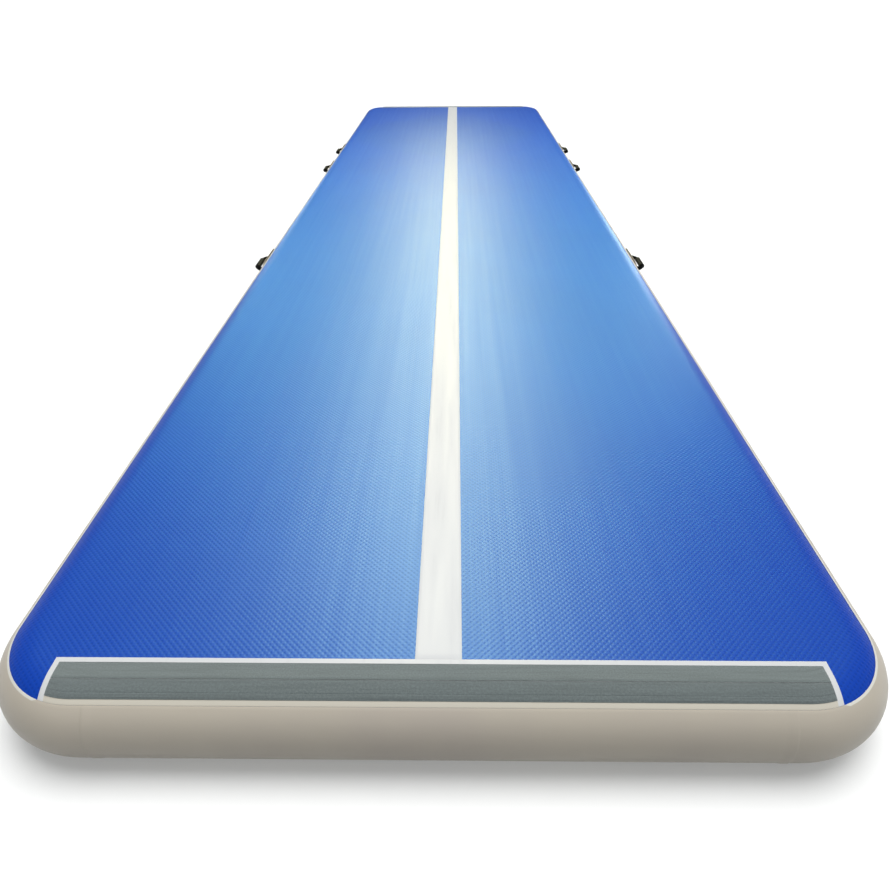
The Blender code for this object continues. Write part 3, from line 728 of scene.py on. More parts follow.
def sheet_patches(face):
    """Grids of a sheet's outer face: face is 1 for the top sheet and -1 for the underside."""
    y, half, normal = outline_rows(SPACING)
    share = np.linspace(-1, 1, SHEET_COLUMNS + 1)
    x = half[:, None] * share[None, :]
    flat_y = np.repeat(y[:, None], len(share), 1)
    middle = np.stack([x, flat_y, np.full_like(x, MIDDLE + SHEET_OUT)], -1)
    patches = [Patch(middle, np.broadcast_to((0.0, 0, 1), middle.shape), middle[..., :2])]
    angles = np.linspace(QUARTER, SHEET_EDGE, SHOULDER_STEPS + 1)
    for side in (-1, 1):
        border = np.stack([side * half, y], -1)
        out = normal * (side, 1)
        patches.append(shoulder(border, out, SHEET_OUT, angles))
    for end, row in ((-1, 0), (1, -1)):
        border = middle[row, :, :2]
        patches.append(shoulder(border, np.broadcast_to((0.0, end), border.shape), SHEET_OUT, angles))
    patches = [puffed(patch) for patch in patches]
    if face < 0:
        flip = np.array((1.0, 1, -1))
        for patch in patches:
            patch.points = np.minimum(patch.points, (9, 9, TOP)) * flip + (0, 0, TOP)
            patch.normals = patch.normals * flip
    return patches


def build_sheets():
    for name, face, slot in (("top_sheet", 1, "blue_pvc"), ("bottom_sheet", -1, "underside_pvc")):
        piece = skin_piece(f"{name}_skin", sheet_patches(face), SHEET_THICKNESS, slot)
        finish_piece(piece, "mat", slot, name)


STRIPE_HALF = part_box("centre_stripe")[1].x
STRIPE_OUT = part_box("centre_stripe")[1].z - MIDDLE
STRIPE_THICKNESS = STRIPE_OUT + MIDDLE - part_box("centre_stripe")[0].z
STRIPE_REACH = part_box("centre_stripe")[1].y + 0.0008
STRIPE_COLUMNS, STRIPE_ROWS = 12, 385


def build_stripe():
    """The white strip along the middle of the top, between the two bands."""
    across = np.linspace(-STRIPE_HALF, STRIPE_HALF, STRIPE_COLUMNS + 1)
    along = np.linspace(-STRIPE_REACH, STRIPE_REACH, STRIPE_ROWS + 1)
    x, y = np.meshgrid(across, along)
    points = np.stack([x, y, np.full_like(x, MIDDLE + STRIPE_OUT)], -1)
    patch = puffed(Patch(points, np.broadcast_to((0.0, 0, 1), points.shape), points[..., :2]))
    piece = skin_piece("centre_stripe_strip", [patch], STRIPE_THICKNESS, "white_pvc", 0.00015)
    finish_piece(piece, "mat", "white_pvc", "centre_stripe")


WALL_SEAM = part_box("outer_wall_front")[1].x
SIDE_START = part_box("outer_wall_right")[0].x
LAP = 0.012
LAP_RAMP = 0.008
WALL_STEPS = 30


def straight_path(low, high, end, spacing):
    """A run along the mat's end, as border points and outward normals."""
    count = round((high - low) / spacing)
    x = np.linspace(low, high, count + 1)
    border = np.stack([x, np.full_like(x, end * FLAT_Y)], -1)
    return border, np.broadcast_to((0.0, end), border.shape)


def side_path(side):
    """The run of a side panel: from the front end's seam, round both corners, to the rear seam."""
    y, half, normal = outline_rows(SPACING)
    border = np.stack([side * half, y], -1)
    start, toward = straight_path(SIDE_START, STRAIGHT_X, -1, 0.01)
    start, toward = start[:-1] * (side, 1), toward[:-1]
    whole = np.concatenate([start, border, start[::-1] * (1, -1)])
    return whole, np.concatenate([toward, normal * (side, 1), -toward])


def wall_patch(border, out, lift=0.0):
    """The outer wall's face along a path, lifted out by an amount for each step of the path."""
    angles = np.linspace(-WALL_EDGE, WALL_EDGE, WALL_STEPS + 1)
    patch = puffed(shoulder(border, out, WALL_OUT, angles))
    run = lengths_along(border + out * WALL_OUT)
    patch.flat[..., 0] = run[:, None]
    patch.flat[..., 1] = angles[None, :] * WALL_OUT
    height = np.broadcast_to(np.asarray(lift), run.shape)
    return patch.raised(np.repeat(height[:, None], len(angles), 1))


# The valve's own frame: its axis points out of the wall, as Z.
VALVE_HOLE = 0.0245
VALVE_PLACE = JOINTS["cap_turn"]["pos_m"]
VALVE_FRAME = Matrix.Translation(VALVE_PLACE) @ Matrix.Rotation(-QUARTER, 4, "X")


def valve_hole():
    """A cutter along the valve's axis, as wide as the hole in the wall's layers."""
    hole = bmesh.new()
    bmesh.ops.create_cone(
        hole, cap_ends=True, segments=64, radius1=VALVE_HOLE, radius2=VALVE_HOLE, depth=0.2
    )
    mesh = mesh_of("valve_hole", hole)
    mesh.transform(VALVE_FRAME)
    return add_object("valve_hole", mesh)


def build_walls():
    """The outer wall panels. The end panels lap over the side panels, as a step in the skin."""
    hole = valve_hole()
    for where, end in (("front", -1), ("rear", 1)):
        border, out = straight_path(-SIDE_START - LAP, SIDE_START + LAP, end, 0.006)
        past = (np.abs(border[:, 0]) - WALL_SEAM + LAP_RAMP) / LAP_RAMP
        lift = eased(past) * (WALL_THICKNESS + 0.0001)
        patch = wall_patch(border, out, lift)
        name = f"outer_wall_{where}"
        cut = hole if where == "rear" else None
        piece = skin_piece(f"{name}_panel", [patch], WALL_THICKNESS, "plain_grey_pvc", 0.0002, cut)
        finish_piece(piece, "mat", "grey_pvc", name)
    for where, side in (("left", -1), ("right", 1)):
        name = f"outer_wall_{where}"
        patch = wall_patch(*side_path(side))
        piece = skin_piece(f"{name}_panel", [patch], WALL_THICKNESS, "grey_pvc", 0.0002)
        finish_piece(piece, "mat", "grey_pvc", name)
    bpy.data.objects.remove(hole, do_unlink=True)


# ------------------------------------------------------------------------------ joining bands


def outline_end(x):
    """Distance along the mat at which the flat outline ends, for a place across it."""
    past = np.clip(np.abs(x) - STRAIGHT_X, 0, FLAT_CORNER)
    return STRAIGHT_Y + np.sqrt(FLAT_CORNER**2 - past**2)


def reach_at(x, y, radius):
    """Length over the skin from the flat outline's end to a distance along the mat."""
    past = np.clip(np.abs(x) - STRAIGHT_X, 0, None)
    beyond = np.hypot(past, y - STRAIGHT_Y) - FLAT_CORNER
    over = radius * np.arcsin(np.clip(beyond, 0, radius) / radius)
    return np.where(y <= outline_end(x), y - outline_end(x), over)


def over_end(x, reach, radius, end):
    """A grid over the mat's end: reach is the length over the skin beyond the flat outline."""
    angle = np.clip(reach, 0, None) / radius
    beyond = radius * np.sin(angle)
    past = np.clip(np.abs(x) - STRAIGHT_X, 0, None)
    on_arc = STRAIGHT_Y + np.sqrt((FLAT_CORNER + beyond) ** 2 - past**2)
    y = np.where(reach > 0, on_arc, outline_end(x) + reach)
    height = MIDDLE + radius * np.cos(angle)
    away = np.stack([np.sign(x) * past, y - STRAIGHT_Y], -1)
    away = away / np.linalg.norm(away, axis=-1, keepdims=True)
    tilt = np.where(reach > 0, np.sin(angle), 0)[..., None]
    normals = np.concatenate([away * tilt, np.cos(angle)[..., None]], -1)
    points = np.stack([x, end * y, height], -1)
    flip = np.array((1.0, end, 1))
    return Patch(points, normals * flip, np.stack([x, reach], -1))


class Strip:
    """One strip of a joining band, between two edges that run across the mat."""

    def __init__(self, node, back, low_angle=None, front=None):
        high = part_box(node)[1]
        self.half = high.x
        self.radius = high.z - MIDDLE
        self.back, self.front, self.low_angle = back, front, low_angle

    def edges(self, x):
        """Reach of the strip's back edge and of its front edge, at each place across."""
        start = reach_at(x, self.back, self.radius)
        if self.low_angle is None:
            return start, reach_at(x, self.front, self.radius)
        return start, np.full_like(x, self.radius * (QUARTER - self.low_angle))

    def patch(self, columns, rows, end, profile=None):
        """The strip's outer face. profile gives its relief from the lengths to both edges."""
        x = np.linspace(-self.half, self.half, columns + 1)[:, None]
        start, stop = self.edges(x)
        share = np.linspace(0, 1, rows + 1)[None, :]
        reach = start + (stop - start) * share
        patch = puffed(over_end(x + 0 * reach, reach, self.radius, end))
        if profile:
            patch = patch.raised(profile(x + 0 * reach, reach - start, stop - reach))
        return patch

    def spots(self, x, reach, end, height):
        """Points on the strip's face and their normals, lifted by a height."""
        patch = puffed(over_end(np.asarray(x), np.asarray(reach), self.radius, end))
        return patch.raised(np.full(patch.points.shape[:-1], height))


BACKING_GAP = math.radians(0.15)
BACKING_THICKNESS = 0.0007
TAPE_BASE_THICKNESS = 0.0012
SELVEDGE = 0.0028
PILE_DROP = 0.0007
FOLD_LINE = 0.013
SELVEDGE_SLOPE = 0.0012
GROOVE_SLOPE = 0.0016
FLUFF = 0.00012
BACKING_GRID = (164, 40)
TAPE_GRID = (404, 46)
STITCH_PITCH = 0.0042
STITCH_LENGTH = 0.0033
STITCH_RADIUS = 0.0003


def tape_relief(half_width, groove):
    """Relief of a tape: the pile stands above its woven edges, and above a sewn groove."""

    def relief(x, from_back, from_front):
        from_end = half_width - np.abs(x)
        edge = np.minimum(np.minimum(from_back, from_front), from_end)
        on_pile = eased((edge - SELVEDGE) / SELVEDGE_SLOPE)
        drop = PILE_DROP * (1 - on_pile)
        if groove:
            from_groove = np.abs(from_front - groove) / GROOVE_SLOPE
            drop = np.maximum(drop, PILE_DROP * (1 - eased(from_groove)))
        fluff = FLUFF * np.sin(x * 410 + from_back * 700) * np.sin(x * 173 - from_back * 1300)
        return fluff * on_pile - drop

    return relief


def tape_stitches(name, strip, end, insets):
    """Rows of stitches along a tape, and one across each of its ends."""
    x = np.arange(-strip.half + 0.004, strip.half - 0.003, STITCH_PITCH)
    start, stop = strip.edges(x)
    spots, alongs, normals = [], [], []
    height = STITCH_RADIUS * 0.4 - PILE_DROP
    for inset in insets:
        reach = start + inset if inset > 0 else stop + inset
        row = strip.spots(x, reach, end, height)
        spots.append(row.points)
        normals.append(row.normals)
        alongs.append(tangents(row.points))
    for side in (-1, 1):
        edge_x = side * (strip.half - SELVEDGE / 2)
        first, last = (float(each[0]) for each in strip.edges(np.array([edge_x])))
        reach = np.arange(first + 0.005, last - 0.004, STITCH_PITCH)
        row = strip.spots(np.full_like(reach, edge_x), reach, end, height)
        spots.append(row.points)
        normals.append(row.normals)
        alongs.append(tangents(row.points))
    spots, alongs, normals = (np.concatenate(each) for each in (spots, alongs, normals))
    mesh = stitches_mesh(name, spots, alongs, normals, STITCH_LENGTH, STITCH_RADIUS)
    piece = new_piece(name, mesh, "tape_thread")
    finish_piece(piece, "mat", "hook_tape")


def reach_of(node):
    """The nearer and further end of a band's node, as distances along the mat."""
    return sorted(abs(corner.y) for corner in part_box(node))


def build_band(where, end):
    """A white backing strip, a loop tape and a hook tape over one end of the mat."""
    backing_node = f"{where}_band_backing"
    loop_node, hook_node = f"{where}_band_loop_tape", f"{where}_band_hook_tape"
    backing = Strip(backing_node, reach_of(backing_node)[0], WALL_EDGE + BACKING_GAP)
    loop = Strip(loop_node, reach_of(loop_node)[0], front=reach_of(loop_node)[1])
    hook = Strip(hook_node, reach_of(hook_node)[0], TAPE_EDGE)

    name, patch = f"{backing_node}_strip", backing.patch(*BACKING_GRID, end)
    piece = skin_piece(name, [patch], BACKING_THICKNESS, "band_pvc", 0.0002)
    finish_piece(piece, "mat", "white_pvc", backing_node)
    for kind, strip, node, groove in (("loop", loop, loop_node, 0), ("hook", hook, hook_node, FOLD_LINE)):
        relief = tape_relief(strip.half, groove)
        patch = strip.patch(*TAPE_GRID, end, relief)
        slot = f"{kind}_tape"
        piece = skin_piece(f"{where}_{slot}_strip", [patch], TAPE_BASE_THICKNESS, slot, 0.00025)
        finish_piece(piece, "mat", slot, node)
    tape_stitches(f"{where}_loop_tape_stitches", loop, end, (SELVEDGE / 2, -SELVEDGE / 2))
    tape_stitches(f"{where}_hook_tape_stitches", hook, end, (SELVEDGE / 2, -FOLD_LINE, -SELVEDGE / 2))


# ------------------------------------------------------------------------------------ handles


HANDLES = [name.removesuffix("_grip") for name in NODE_NAMES if name.endswith("_grip")]
PATCH_HALF_HEIGHT = 0.05
PATCH_END_RADIUS = 0.049
PATCH_THICKNESS = 0.001
STRAP_END_OUT = 0.0025
PAD_START = 0.1358
PAD_STOP = 0.1060
LEG_TOP = 0.0610
LEG_PULL = 0.024
STRAP_WIDTH = 0.032
STRAP_FOLDED_WIDTH = 0.0165
STRAP_THICKNESS = 0.0024
STRAP_FOLDED_THICKNESS = 0.0052
STRAP_CUPPING = 0.0022
BOX_STITCH_PITCH = 0.0031
BOX_STITCH_LENGTH = 0.0025
BOX_STITCH_RADIUS = 0.00028
GRIP_BORE = 0.0098
GRIP_COLLAR = 0.006
GRIP_ROUNDING = 0.003
GRIP_RIBS = 11


class Handle:
    """Where one handle's parts are: out from the hinge axis, along the mat, and up."""

    def __init__(self, name):
        hinge = Vector(JOINTS[f"{name}_swing"]["pos_m"])
        self.name = name
        self.sign = 1 if hinge.x > 0 else -1
        turn = Matrix.Rotation(0 if self.sign > 0 else math.pi, 4, "Z")
        self.frame = Matrix.Translation(hinge) @ turn
        low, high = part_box(f"{name}_grip")
        self.grip_reach = abs((low.x + high.x) / 2 - hinge.x)
        self.grip_radius = (high.z - low.z) / 2
        self.grip_half = (high.y - low.y) / 2
        low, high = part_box(f"{name}_patch")
        self.patch_half = (high.y - low.y) / 2
        self.axis_from_bulge = abs(hinge.x) - FLAT_X
        self.patch_radius = max(abs(low.x), abs(high.x)) - FLAT_X - STRAP_END_OUT

    def wall(self, up, radius):
        """How far out from the hinge axis a layer of the wall lies, at a height from the middle."""
        return np.sqrt(radius**2 - np.asarray(up) ** 2) - self.axis_from_bulge


def build_handle_patch(handle):
    """The oval patch glued to the wall."""
    ends = np.linspace(0, QUARTER, 15)
    straight = handle.patch_half - PATCH_END_RADIUS
    tips = straight + PATCH_END_RADIUS * np.sin(ends)
    middle = np.linspace(-straight, straight, 21)[1:-1]
    along = np.concatenate([-tips[::-1], middle, tips])
    past = np.clip(np.abs(along) - straight, 0, PATCH_END_RADIUS)
    blunt = PATCH_HALF_HEIGHT - PATCH_END_RADIUS
    half = blunt + np.sqrt(PATCH_END_RADIUS**2 - past**2)
    up = half[:, None] * np.linspace(-1, 1, 17)[None, :]
    radius = handle.patch_radius
    out = handle.wall(up, radius)
    points = np.stack([out, along[:, None] + 0 * up, up], -1)
    normals = np.stack([(out + handle.axis_from_bulge) / radius, 0 * up, up / radius], -1)
    place = handle.frame
    patch = Patch(placed(points, place), rotated(normals, place), points[..., 1:])
    name = f"{handle.name}_patch"
    piece = skin_piece(f"{name}_cover", [patch], PATCH_THICKNESS, "plain_grey_pvc", 0.0003)
    finish_piece(piece, "mat", "grey_pvc", name)


def bezier(points, share):
    share = np.asarray(share)[:, None]
    first, second, third, last = (np.asarray(point, float) for point in points)
    keep = 1 - share
    return keep**3 * first + 3 * keep**2 * share * second + 3 * keep * share**2 * third + share**3 * last


def strap_route(handle):
    """The strap half's middle line as (out, along), and its share of folding at each point."""
    pad_out = handle.wall(0.0, handle.patch_radius + STRAP_THICKNESS / 2 + 0.0001)
    pad = [(pad_out, along) for along in np.linspace(PAD_START, PAD_STOP, 12)[:-1]]
    foot, top = (pad_out, PAD_STOP), (handle.grip_reach, LEG_TOP)
    leg = bezier(
        (foot, (pad_out, PAD_STOP - LEG_PULL), (handle.grip_reach, LEG_TOP + LEG_PULL), top),
        np.linspace(0, 1, 33),
    )
    inside = [(handle.grip_reach, along) for along in np.linspace(LEG_TOP, 0.0002, 8)[1:]]
    route = np.concatenate([pad, leg, inside])
    fold = eased((PAD_STOP + 0.004 - route[:, 1]) / (PAD_STOP - LEG_TOP + 0.004))
    return route, fold


def section(width, thickness, steps=5):
    """Outline of a flat strap's section, with round edges."""
    points = []
    radius = thickness / 2
    flat = width / 2 - radius
    for side in (1, -1):
        for step in range(steps + 1):
            angle = math.radians(-90 + 180 * step / steps)
            points.append((side * (flat + radius * math.cos(angle)), side * radius * math.sin(angle)))
        for share in (0.6, 0.2, -0.2, -0.6):
            points.append((side * flat * share, side * radius))
    return np.array(points)


def build_strap_half(handle, side):
    """Half of the carry strap: sewn flat on the patch, rising and folding up to enter the grip."""
    route, fold = strap_route(handle)
    points, flat = [], []
    steps = zip(route, tangents(route), fold, lengths_along(route))
    for (out, along), (to_out, to_along), share, length in steps:
        width = STRAP_WIDTH + (STRAP_FOLDED_WIDTH - STRAP_WIDTH) * share
        thickness = STRAP_THICKNESS + (STRAP_FOLDED_THICKNESS - STRAP_THICKNESS) * share
        across = section(width, thickness)
        radius = handle.patch_radius + STRAP_THICKNESS / 2
        curl = (np.sqrt(radius**2 - across[:, 0] ** 2) - radius) * (1 - share)
        curl += STRAP_CUPPING * share * (1 - share) * 4 * (np.abs(across[:, 0]) / width * 2) ** 2
        off = across[:, 1] + curl
        ring = np.stack([out - to_along * off, side * (along + to_out * off), across[:, 0]], -1)
        points.append(ring)
        flat.append(np.stack([np.full(len(ring), length), lengths_along(across)], -1))
    name = f"{handle.name}_strap_{'rear' if side * handle.sign > 0 else 'front'}_half"
    faces = tube_faces(len(points), len(points[0]))
    world = placed(np.concatenate(points), handle.frame)
    mesh = clean(mesh_from(name, world, faces, np.concatenate(flat)), weld=False)
    piece = settle(new_piece(name, mesh, "black_webbing"), 50)
    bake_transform(piece)
    named_piece(piece, "black_webbing", f"{handle.name}_strap")


def build_strap_stitches(handle):
    """A sewn box with a cross in it on each sewn-down end of the strap."""
    low, high = PAD_STOP + 0.0040, PAD_START - 0.0035
    wide = STRAP_WIDTH / 2 - 0.0035
    corners = [(low, -wide), (high, -wide), (high, wide), (low, wide)]
    lines = list(zip(corners, corners[1:] + corners[:1]))
    lines += [(corners[0], corners[2]), (corners[1], corners[3])]
    radius = handle.patch_radius + STRAP_THICKNESS + 0.0002
    spots, alongs, normals = [], [], []
    for side in (-1, 1):
        for start, stop in lines:
            start, stop = np.array(start), np.array(stop)
            length = np.linalg.norm(stop - start)
            direction = (stop - start) / length
            count = round(length / BOX_STITCH_PITCH)
            for step in range(count):
                along, up = start + (stop - start) * (step + 0.5) / count
                out = float(handle.wall(up, radius))
                normal = np.array(((out + handle.axis_from_bulge) / radius, 0, up / radius))
                slope = -up / math.sqrt(radius**2 - up**2)
                lie = np.array((slope * direction[1], side * direction[0], direction[1]))
                spots.append((out, side * along, up))
                normals.append(normal)
                alongs.append(lie / np.linalg.norm(lie))
    name, place = f"{handle.name}_stitches", handle.frame
    lies = placed(spots, place), rotated(alongs, place), rotated(normals, place)
    mesh = stitches_mesh(name, *lies, BOX_STITCH_LENGTH, BOX_STITCH_RADIUS)
    finish_piece(new_piece(name, mesh, "black_thread"), "mat", "black_webbing")


def grip_profile(handle):
    """Outline of the rubber grip as (radius, along): shallow ribs between two rounded collars."""
    radius, half = handle.grip_radius, handle.grip_half
    flat, low = radius - GRIP_ROUNDING, half - GRIP_ROUNDING
    profile = [(GRIP_BORE, half - 0.0008), (GRIP_BORE + 0.0008, half), (flat, half)]
    for step in range(1, 6):
        angle = QUARTER * step / 5
        rounding = (GRIP_ROUNDING * math.sin(angle), GRIP_ROUNDING * math.cos(angle))
        profile.append((flat + rounding[0], low + rounding[1]))
    body = half - GRIP_COLLAR
    steps = GRIP_RIBS * 8
    for step in range(steps + 1):
        along = body - 2 * body * step / steps
        groove = 0.5 - 0.5 * math.cos(math.tau * GRIP_RIBS * step / steps)
        profile.append((radius - 0.0006 - 0.0009 * groove**3, along))
    mirrored = [(out, -along) for out, along in profile[:8]]
    return profile + mirrored[::-1]


def build_grip(handle):
    mesh = turned_mesh(f"{handle.name}_grip_sleeve", grip_profile(handle), 40)
    along_y = Matrix.Rotation(-QUARTER, 4, "X")
    mesh.transform(handle.frame @ Matrix.Translation((handle.grip_reach, 0, 0)) @ along_y)
    piece = settle(new_piece(mesh.name, mesh, "black_rubber"))
    finish_piece(piece, handle.name, "black_rubber", f"{handle.name}_grip")


def build_handles():
    for name in HANDLES:
        handle = Handle(name)
        build_handle_patch(handle)
        for side in (-1, 1):
            build_strap_half(handle, side)
        build_strap_stitches(handle)
        build_grip(handle)


# -------------------------------------------------------------------------------------- valve


VALVE_PATCH_RADIUS = 0.075
LAYER_GAP = 0.0003
NECK_RADIUS = 0.024
FLANGE_RADIUS = 0.032
SHELL_RADIUS = 0.023
BORE_RADIUS = 0.019
SEAT_RADIUS = 0.0155
SEAT_DEPTH = 0.003
HUB_RADIUS = 0.0055
PIN_BORE_RADIUS = 0.0026
CAP_RADIUS = 0.0265
CAP_PLATE = 0.0026
CAP_GROOVE_RADIUS = 0.0235
CAP_BAR_HEIGHT = 0.008
SKIRT_OUTER, SKIRT_INNER = 0.0185, 0.0158
SKIRT_LENGTH = 0.008
TETHER_THICKNESS = 0.002
TETHER_HALF_WIDTH = 0.005
TETHER_RING_RADIUS = 0.029


def height_of(node, end):
    """Height of a valve node's low (0) or high (1) face above the wall's outermost line."""
    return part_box(node)[end].y - VALVE_PLACE[1]


def build_valve_patch():
    """The round reinforcement patch, following the wall's bulge."""
    radius = WALL_OUT + LAYER_GAP + PATCH_THICKNESS
    rings = np.linspace(VALVE_HOLE, VALVE_PATCH_RADIUS, 18)[:, None]
    angles = np.linspace(0, math.tau, 97)[None, :]
    x, down = rings * np.cos(angles), rings * np.sin(angles)
    height = np.sqrt(radius**2 - down**2) - WALL_OUT
    points = np.stack([x, down, height], -1)
    normals = np.stack([0 * x, down / radius, (height + WALL_OUT) / radius], -1)
    grids = placed(points, VALVE_FRAME), rotated(normals, VALVE_FRAME), points[..., :2]
    halves = [
        Patch(*(grid[:, part] for grid in grids)) for part in (slice(0, 49), slice(48, 97))
    ]
    piece = skin_piece("valve_patch_ring", halves, PATCH_THICKNESS, "plain_grey_pvc", 0.0003)
    finish_piece(piece, "mat", "grey_pvc", "valve_patch")


def valve_piece(name, mesh, material, edge=0.0, degrees=38):
    """A piece made on the valve's own axis, put in its place in the mat."""
    mesh.transform(VALVE_FRAME)
    piece = new_piece(name, mesh, material)
    if edge:
        round_edges(piece, edge, 3)
    return settle(piece, degrees)


def build_valve_body():
    """Shell, flange and neck with bayonet ribs, and the spider that carries the pin."""
    bottom, top = height_of("valve_body", 0), height_of("valve_body", 1)
    flange_top = height_of("valve_cap_tether", 0) - LAYER_GAP
    flange_bottom = height_of("valve_gasket", 1) + LAYER_GAP
    seat = bottom + SEAT_DEPTH
    profile = [(NECK_RADIUS, top), (NECK_RADIUS, flange_top)]
    profile += [(FLANGE_RADIUS, flange_top), (FLANGE_RADIUS, flange_bottom)]
    profile += [(SHELL_RADIUS, flange_bottom), (SHELL_RADIUS, bottom)]
    profile += [(SEAT_RADIUS, bottom), (SEAT_RADIUS, seat), (BORE_RADIUS, seat), (BORE_RADIUS, top)]
    parts = [turned_mesh("shell", profile, 72)]
    hub_low, hub_high = bottom + 0.007, bottom + 0.015
    hub = [(HUB_RADIUS, hub_high), (HUB_RADIUS, hub_low)]
    hub += [(PIN_BORE_RADIUS, hub_low), (PIN_BORE_RADIUS, hub_high)]
    parts.append(turned_mesh("hub", hub, 36))
    for arm in range(3):
        bar = box_mesh("arm", (0.0050, -0.0015, hub_low + 0.001), (0.0195, 0.0015, hub_high - 0.001))
        bar.transform(Matrix.Rotation(math.tau * arm / 3, 4, "Z"))
        parts.append(bar)
    for lug in range(2):
        rib = box_mesh("lug", (0.0187, -0.004, top - 0.006), (0.0195, 0.004, top - 0.0045))
        rib.transform(Matrix.Rotation(math.pi * lug + math.radians(60), 4, "Z"))
        parts.append(rib)
    mesh = joined_mesh("valve_body_moulding", parts)
    piece = valve_piece("valve_body_moulding", mesh, "valve_plastic", 0.0004)
    finish_piece(piece, "mat", "valve_plastic", "valve_body")


def build_cap():
    """The cap: gripping ribs round its rim, a hollow skirt and a finger bar across the top."""
    plate_top = height_of("valve_cap", 1) - CAP_BAR_HEIGHT
    low = plate_top - CAP_PLATE
    groove = low - CAP_PLATE
    skirt = groove - SKIRT_LENGTH
    profile = [(0, plate_top), (0.0195, plate_top), (0.0205, plate_top - 0.0005)]
    profile += [(0.0225, plate_top - 0.0005), (0.0235, plate_top), (0.0258, plate_top)]
    profile += [(CAP_RADIUS, plate_top - 0.0008), (CAP_RADIUS, low)]
    profile += [(CAP_GROOVE_RADIUS, low), (CAP_GROOVE_RADIUS, groove)]
    profile += [(SKIRT_OUTER, groove), (SKIRT_OUTER, skirt + 0.0006), (SKIRT_OUTER - 0.0006, skirt)]
    profile += [(SKIRT_INNER, skirt), (SKIRT_INNER, groove + 0.001), (0, groove + 0.001)]

    def ribs(angle, radius, height):
        return -0.0005 * max(0.0, math.cos(36 * angle)) if radius > CAP_RADIUS - 0.001 else 0.0

    bar_low = (-0.018, -0.003, plate_top - 0.001)
    bar_high = (0.018, 0.003, plate_top + CAP_BAR_HEIGHT)
    bar = box_mesh("bar", bar_low, bar_high, 0.0014)
    mesh = joined_mesh("valve_cap_moulding", [turned_mesh("cap", profile, 144, ribs), bar])
    piece = valve_piece("valve_cap_moulding", mesh, "valve_plastic")
    finish_piece(piece, "cap", "valve_plastic", "valve_cap")


def build_tether():
    """Rubber rings round the neck and the cap, joined by a folded strap."""
    low, high = height_of("valve_cap_tether", 0), height_of("valve_cap_tether", 1)
    thick = TETHER_THICKNESS
    rings = []
    for inner, bottom in ((NECK_RADIUS, low), (CAP_GROOVE_RADIUS, high - thick)):
        inner, outer, top = inner + LAYER_GAP, TETHER_RING_RADIUS, bottom + thick
        ring = [(outer, top), (outer, bottom), (inner, bottom), (inner, top)]
        rings.append(turned_mesh("ring", ring, 64))
    fold = (high - low - thick) / 2
    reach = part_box("valve_cap_tether")[1].x - VALVE_PLACE[0] - fold - thick / 2
    line = [(0.0275, low + thick / 2)]
    line += [(out, low + thick / 2) for out in np.linspace(0.030, reach, 6)]
    for step in range(1, 16):
        angle = QUARTER * (step / 8 - 1)
        line.append((reach + fold * math.cos(angle), low + thick / 2 + fold + fold * math.sin(angle)))
    line += [(out, high - thick / 2) for out in np.linspace(reach, 0.030, 6)]
    line.append((0.0275, high - thick / 2))
    points = []
    for (out, height), (to_out, to_height) in zip(line, tangents(line)):
        for side, face in ((-1, -1), (1, -1), (1, 1), (-1, 1)):
            off = face * thick / 2
            points.append((out - to_height * off, side * TETHER_HALF_WIDTH, height + to_out * off))
    strap = bpy.data.meshes.new("strap")
    strap.from_pydata(points, [], tube_faces(len(line), 4))
    mesh = joined_mesh("valve_cap_tether_strap", [*rings, strap])
    piece = valve_piece("valve_cap_tether_strap", mesh, "black_rubber", 0.0004)
    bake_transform(piece)
    named_piece(piece, "black_rubber", "valve_cap_tether")


def build_spring():
    """The pin's return spring, a coil."""
    low, high = height_of("valve_spring", 0) + 0.0005, height_of("valve_spring", 1) - 0.0005
    turns, steps_per_turn, wire, radius = 5, 24, 0.0005, 0.0041
    curve = bpy.data.curves.new("valve_spring_coil", "CURVE")
    curve.dimensions = "3D"
    spline = curve.splines.new("POLY")
    steps = turns * steps_per_turn
    spline.points.add(steps)
    for step, point in enumerate(spline.points):
        angle = math.tau * step / steps_per_turn
        height = low + (high - low) * step / steps
        point.co = (radius * math.cos(angle), radius * math.sin(angle), height, 1)
    curve.bevel_depth = wire
    curve.bevel_resolution = 3
    curve.use_fill_caps = True
    guide = add_object("spring_guide", curve)
    mesh = evaluated_mesh(guide)
    bpy.data.objects.remove(guide, do_unlink=True)
    piece = valve_piece("valve_spring_coil", mesh, "spring_steel", degrees=60)
    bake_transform(piece)
    named_piece(piece, "spring_steel", "valve_spring")


def build_valve():
    build_valve_patch()
    build_valve_body()
    build_cap()
    build_tether()
    build_spring()


KEPT_NODES = {
    "drop_stitch_core": "woven_core",
    "inner_wall_tape": "grey_pvc",
    "valve_gasket": "black_rubber",
    "valve_backing_washer": "black_rubber",
    "valve_back_nut": "valve_plastic",
    "valve_push_pin": "valve_plastic",
    "valve_diaphragm": "black_rubber",
    "valve_pin_clip": "valve_plastic",
    "valve_cap_seal": "black_rubber",
}


def finish_kept_nodes():
    """CAD nodes whose shape is already right get their full material."""
    for node, material in KEPT_NODES.items():
        mesh = frame["nodes"][node].data
        mesh.materials.clear()
        mesh.materials.append(MATERIALS[material])
        mesh.set_sharp_from_angle(angle=math.radians(35))


# ----------------------------------------------------------------------------- studio, camera


CAMERA_PLACE = (0.0346, -4.781, 1.3906)
CAMERA_TURN = math.radians(0.93)
CAMERA_DOWN = math.radians(34.45)
CAMERA_ROLL = math.radians(-0.43)
CAMERA_LENS = 27.3
FLOOR_HALF = 150.0
FLOOR_GAP = 0.0003
FLOOR_LIGHT = 0.13
PANEL_X, PANEL_Z = -0.1, 2.7
TUBE_WIDTH = 0.33


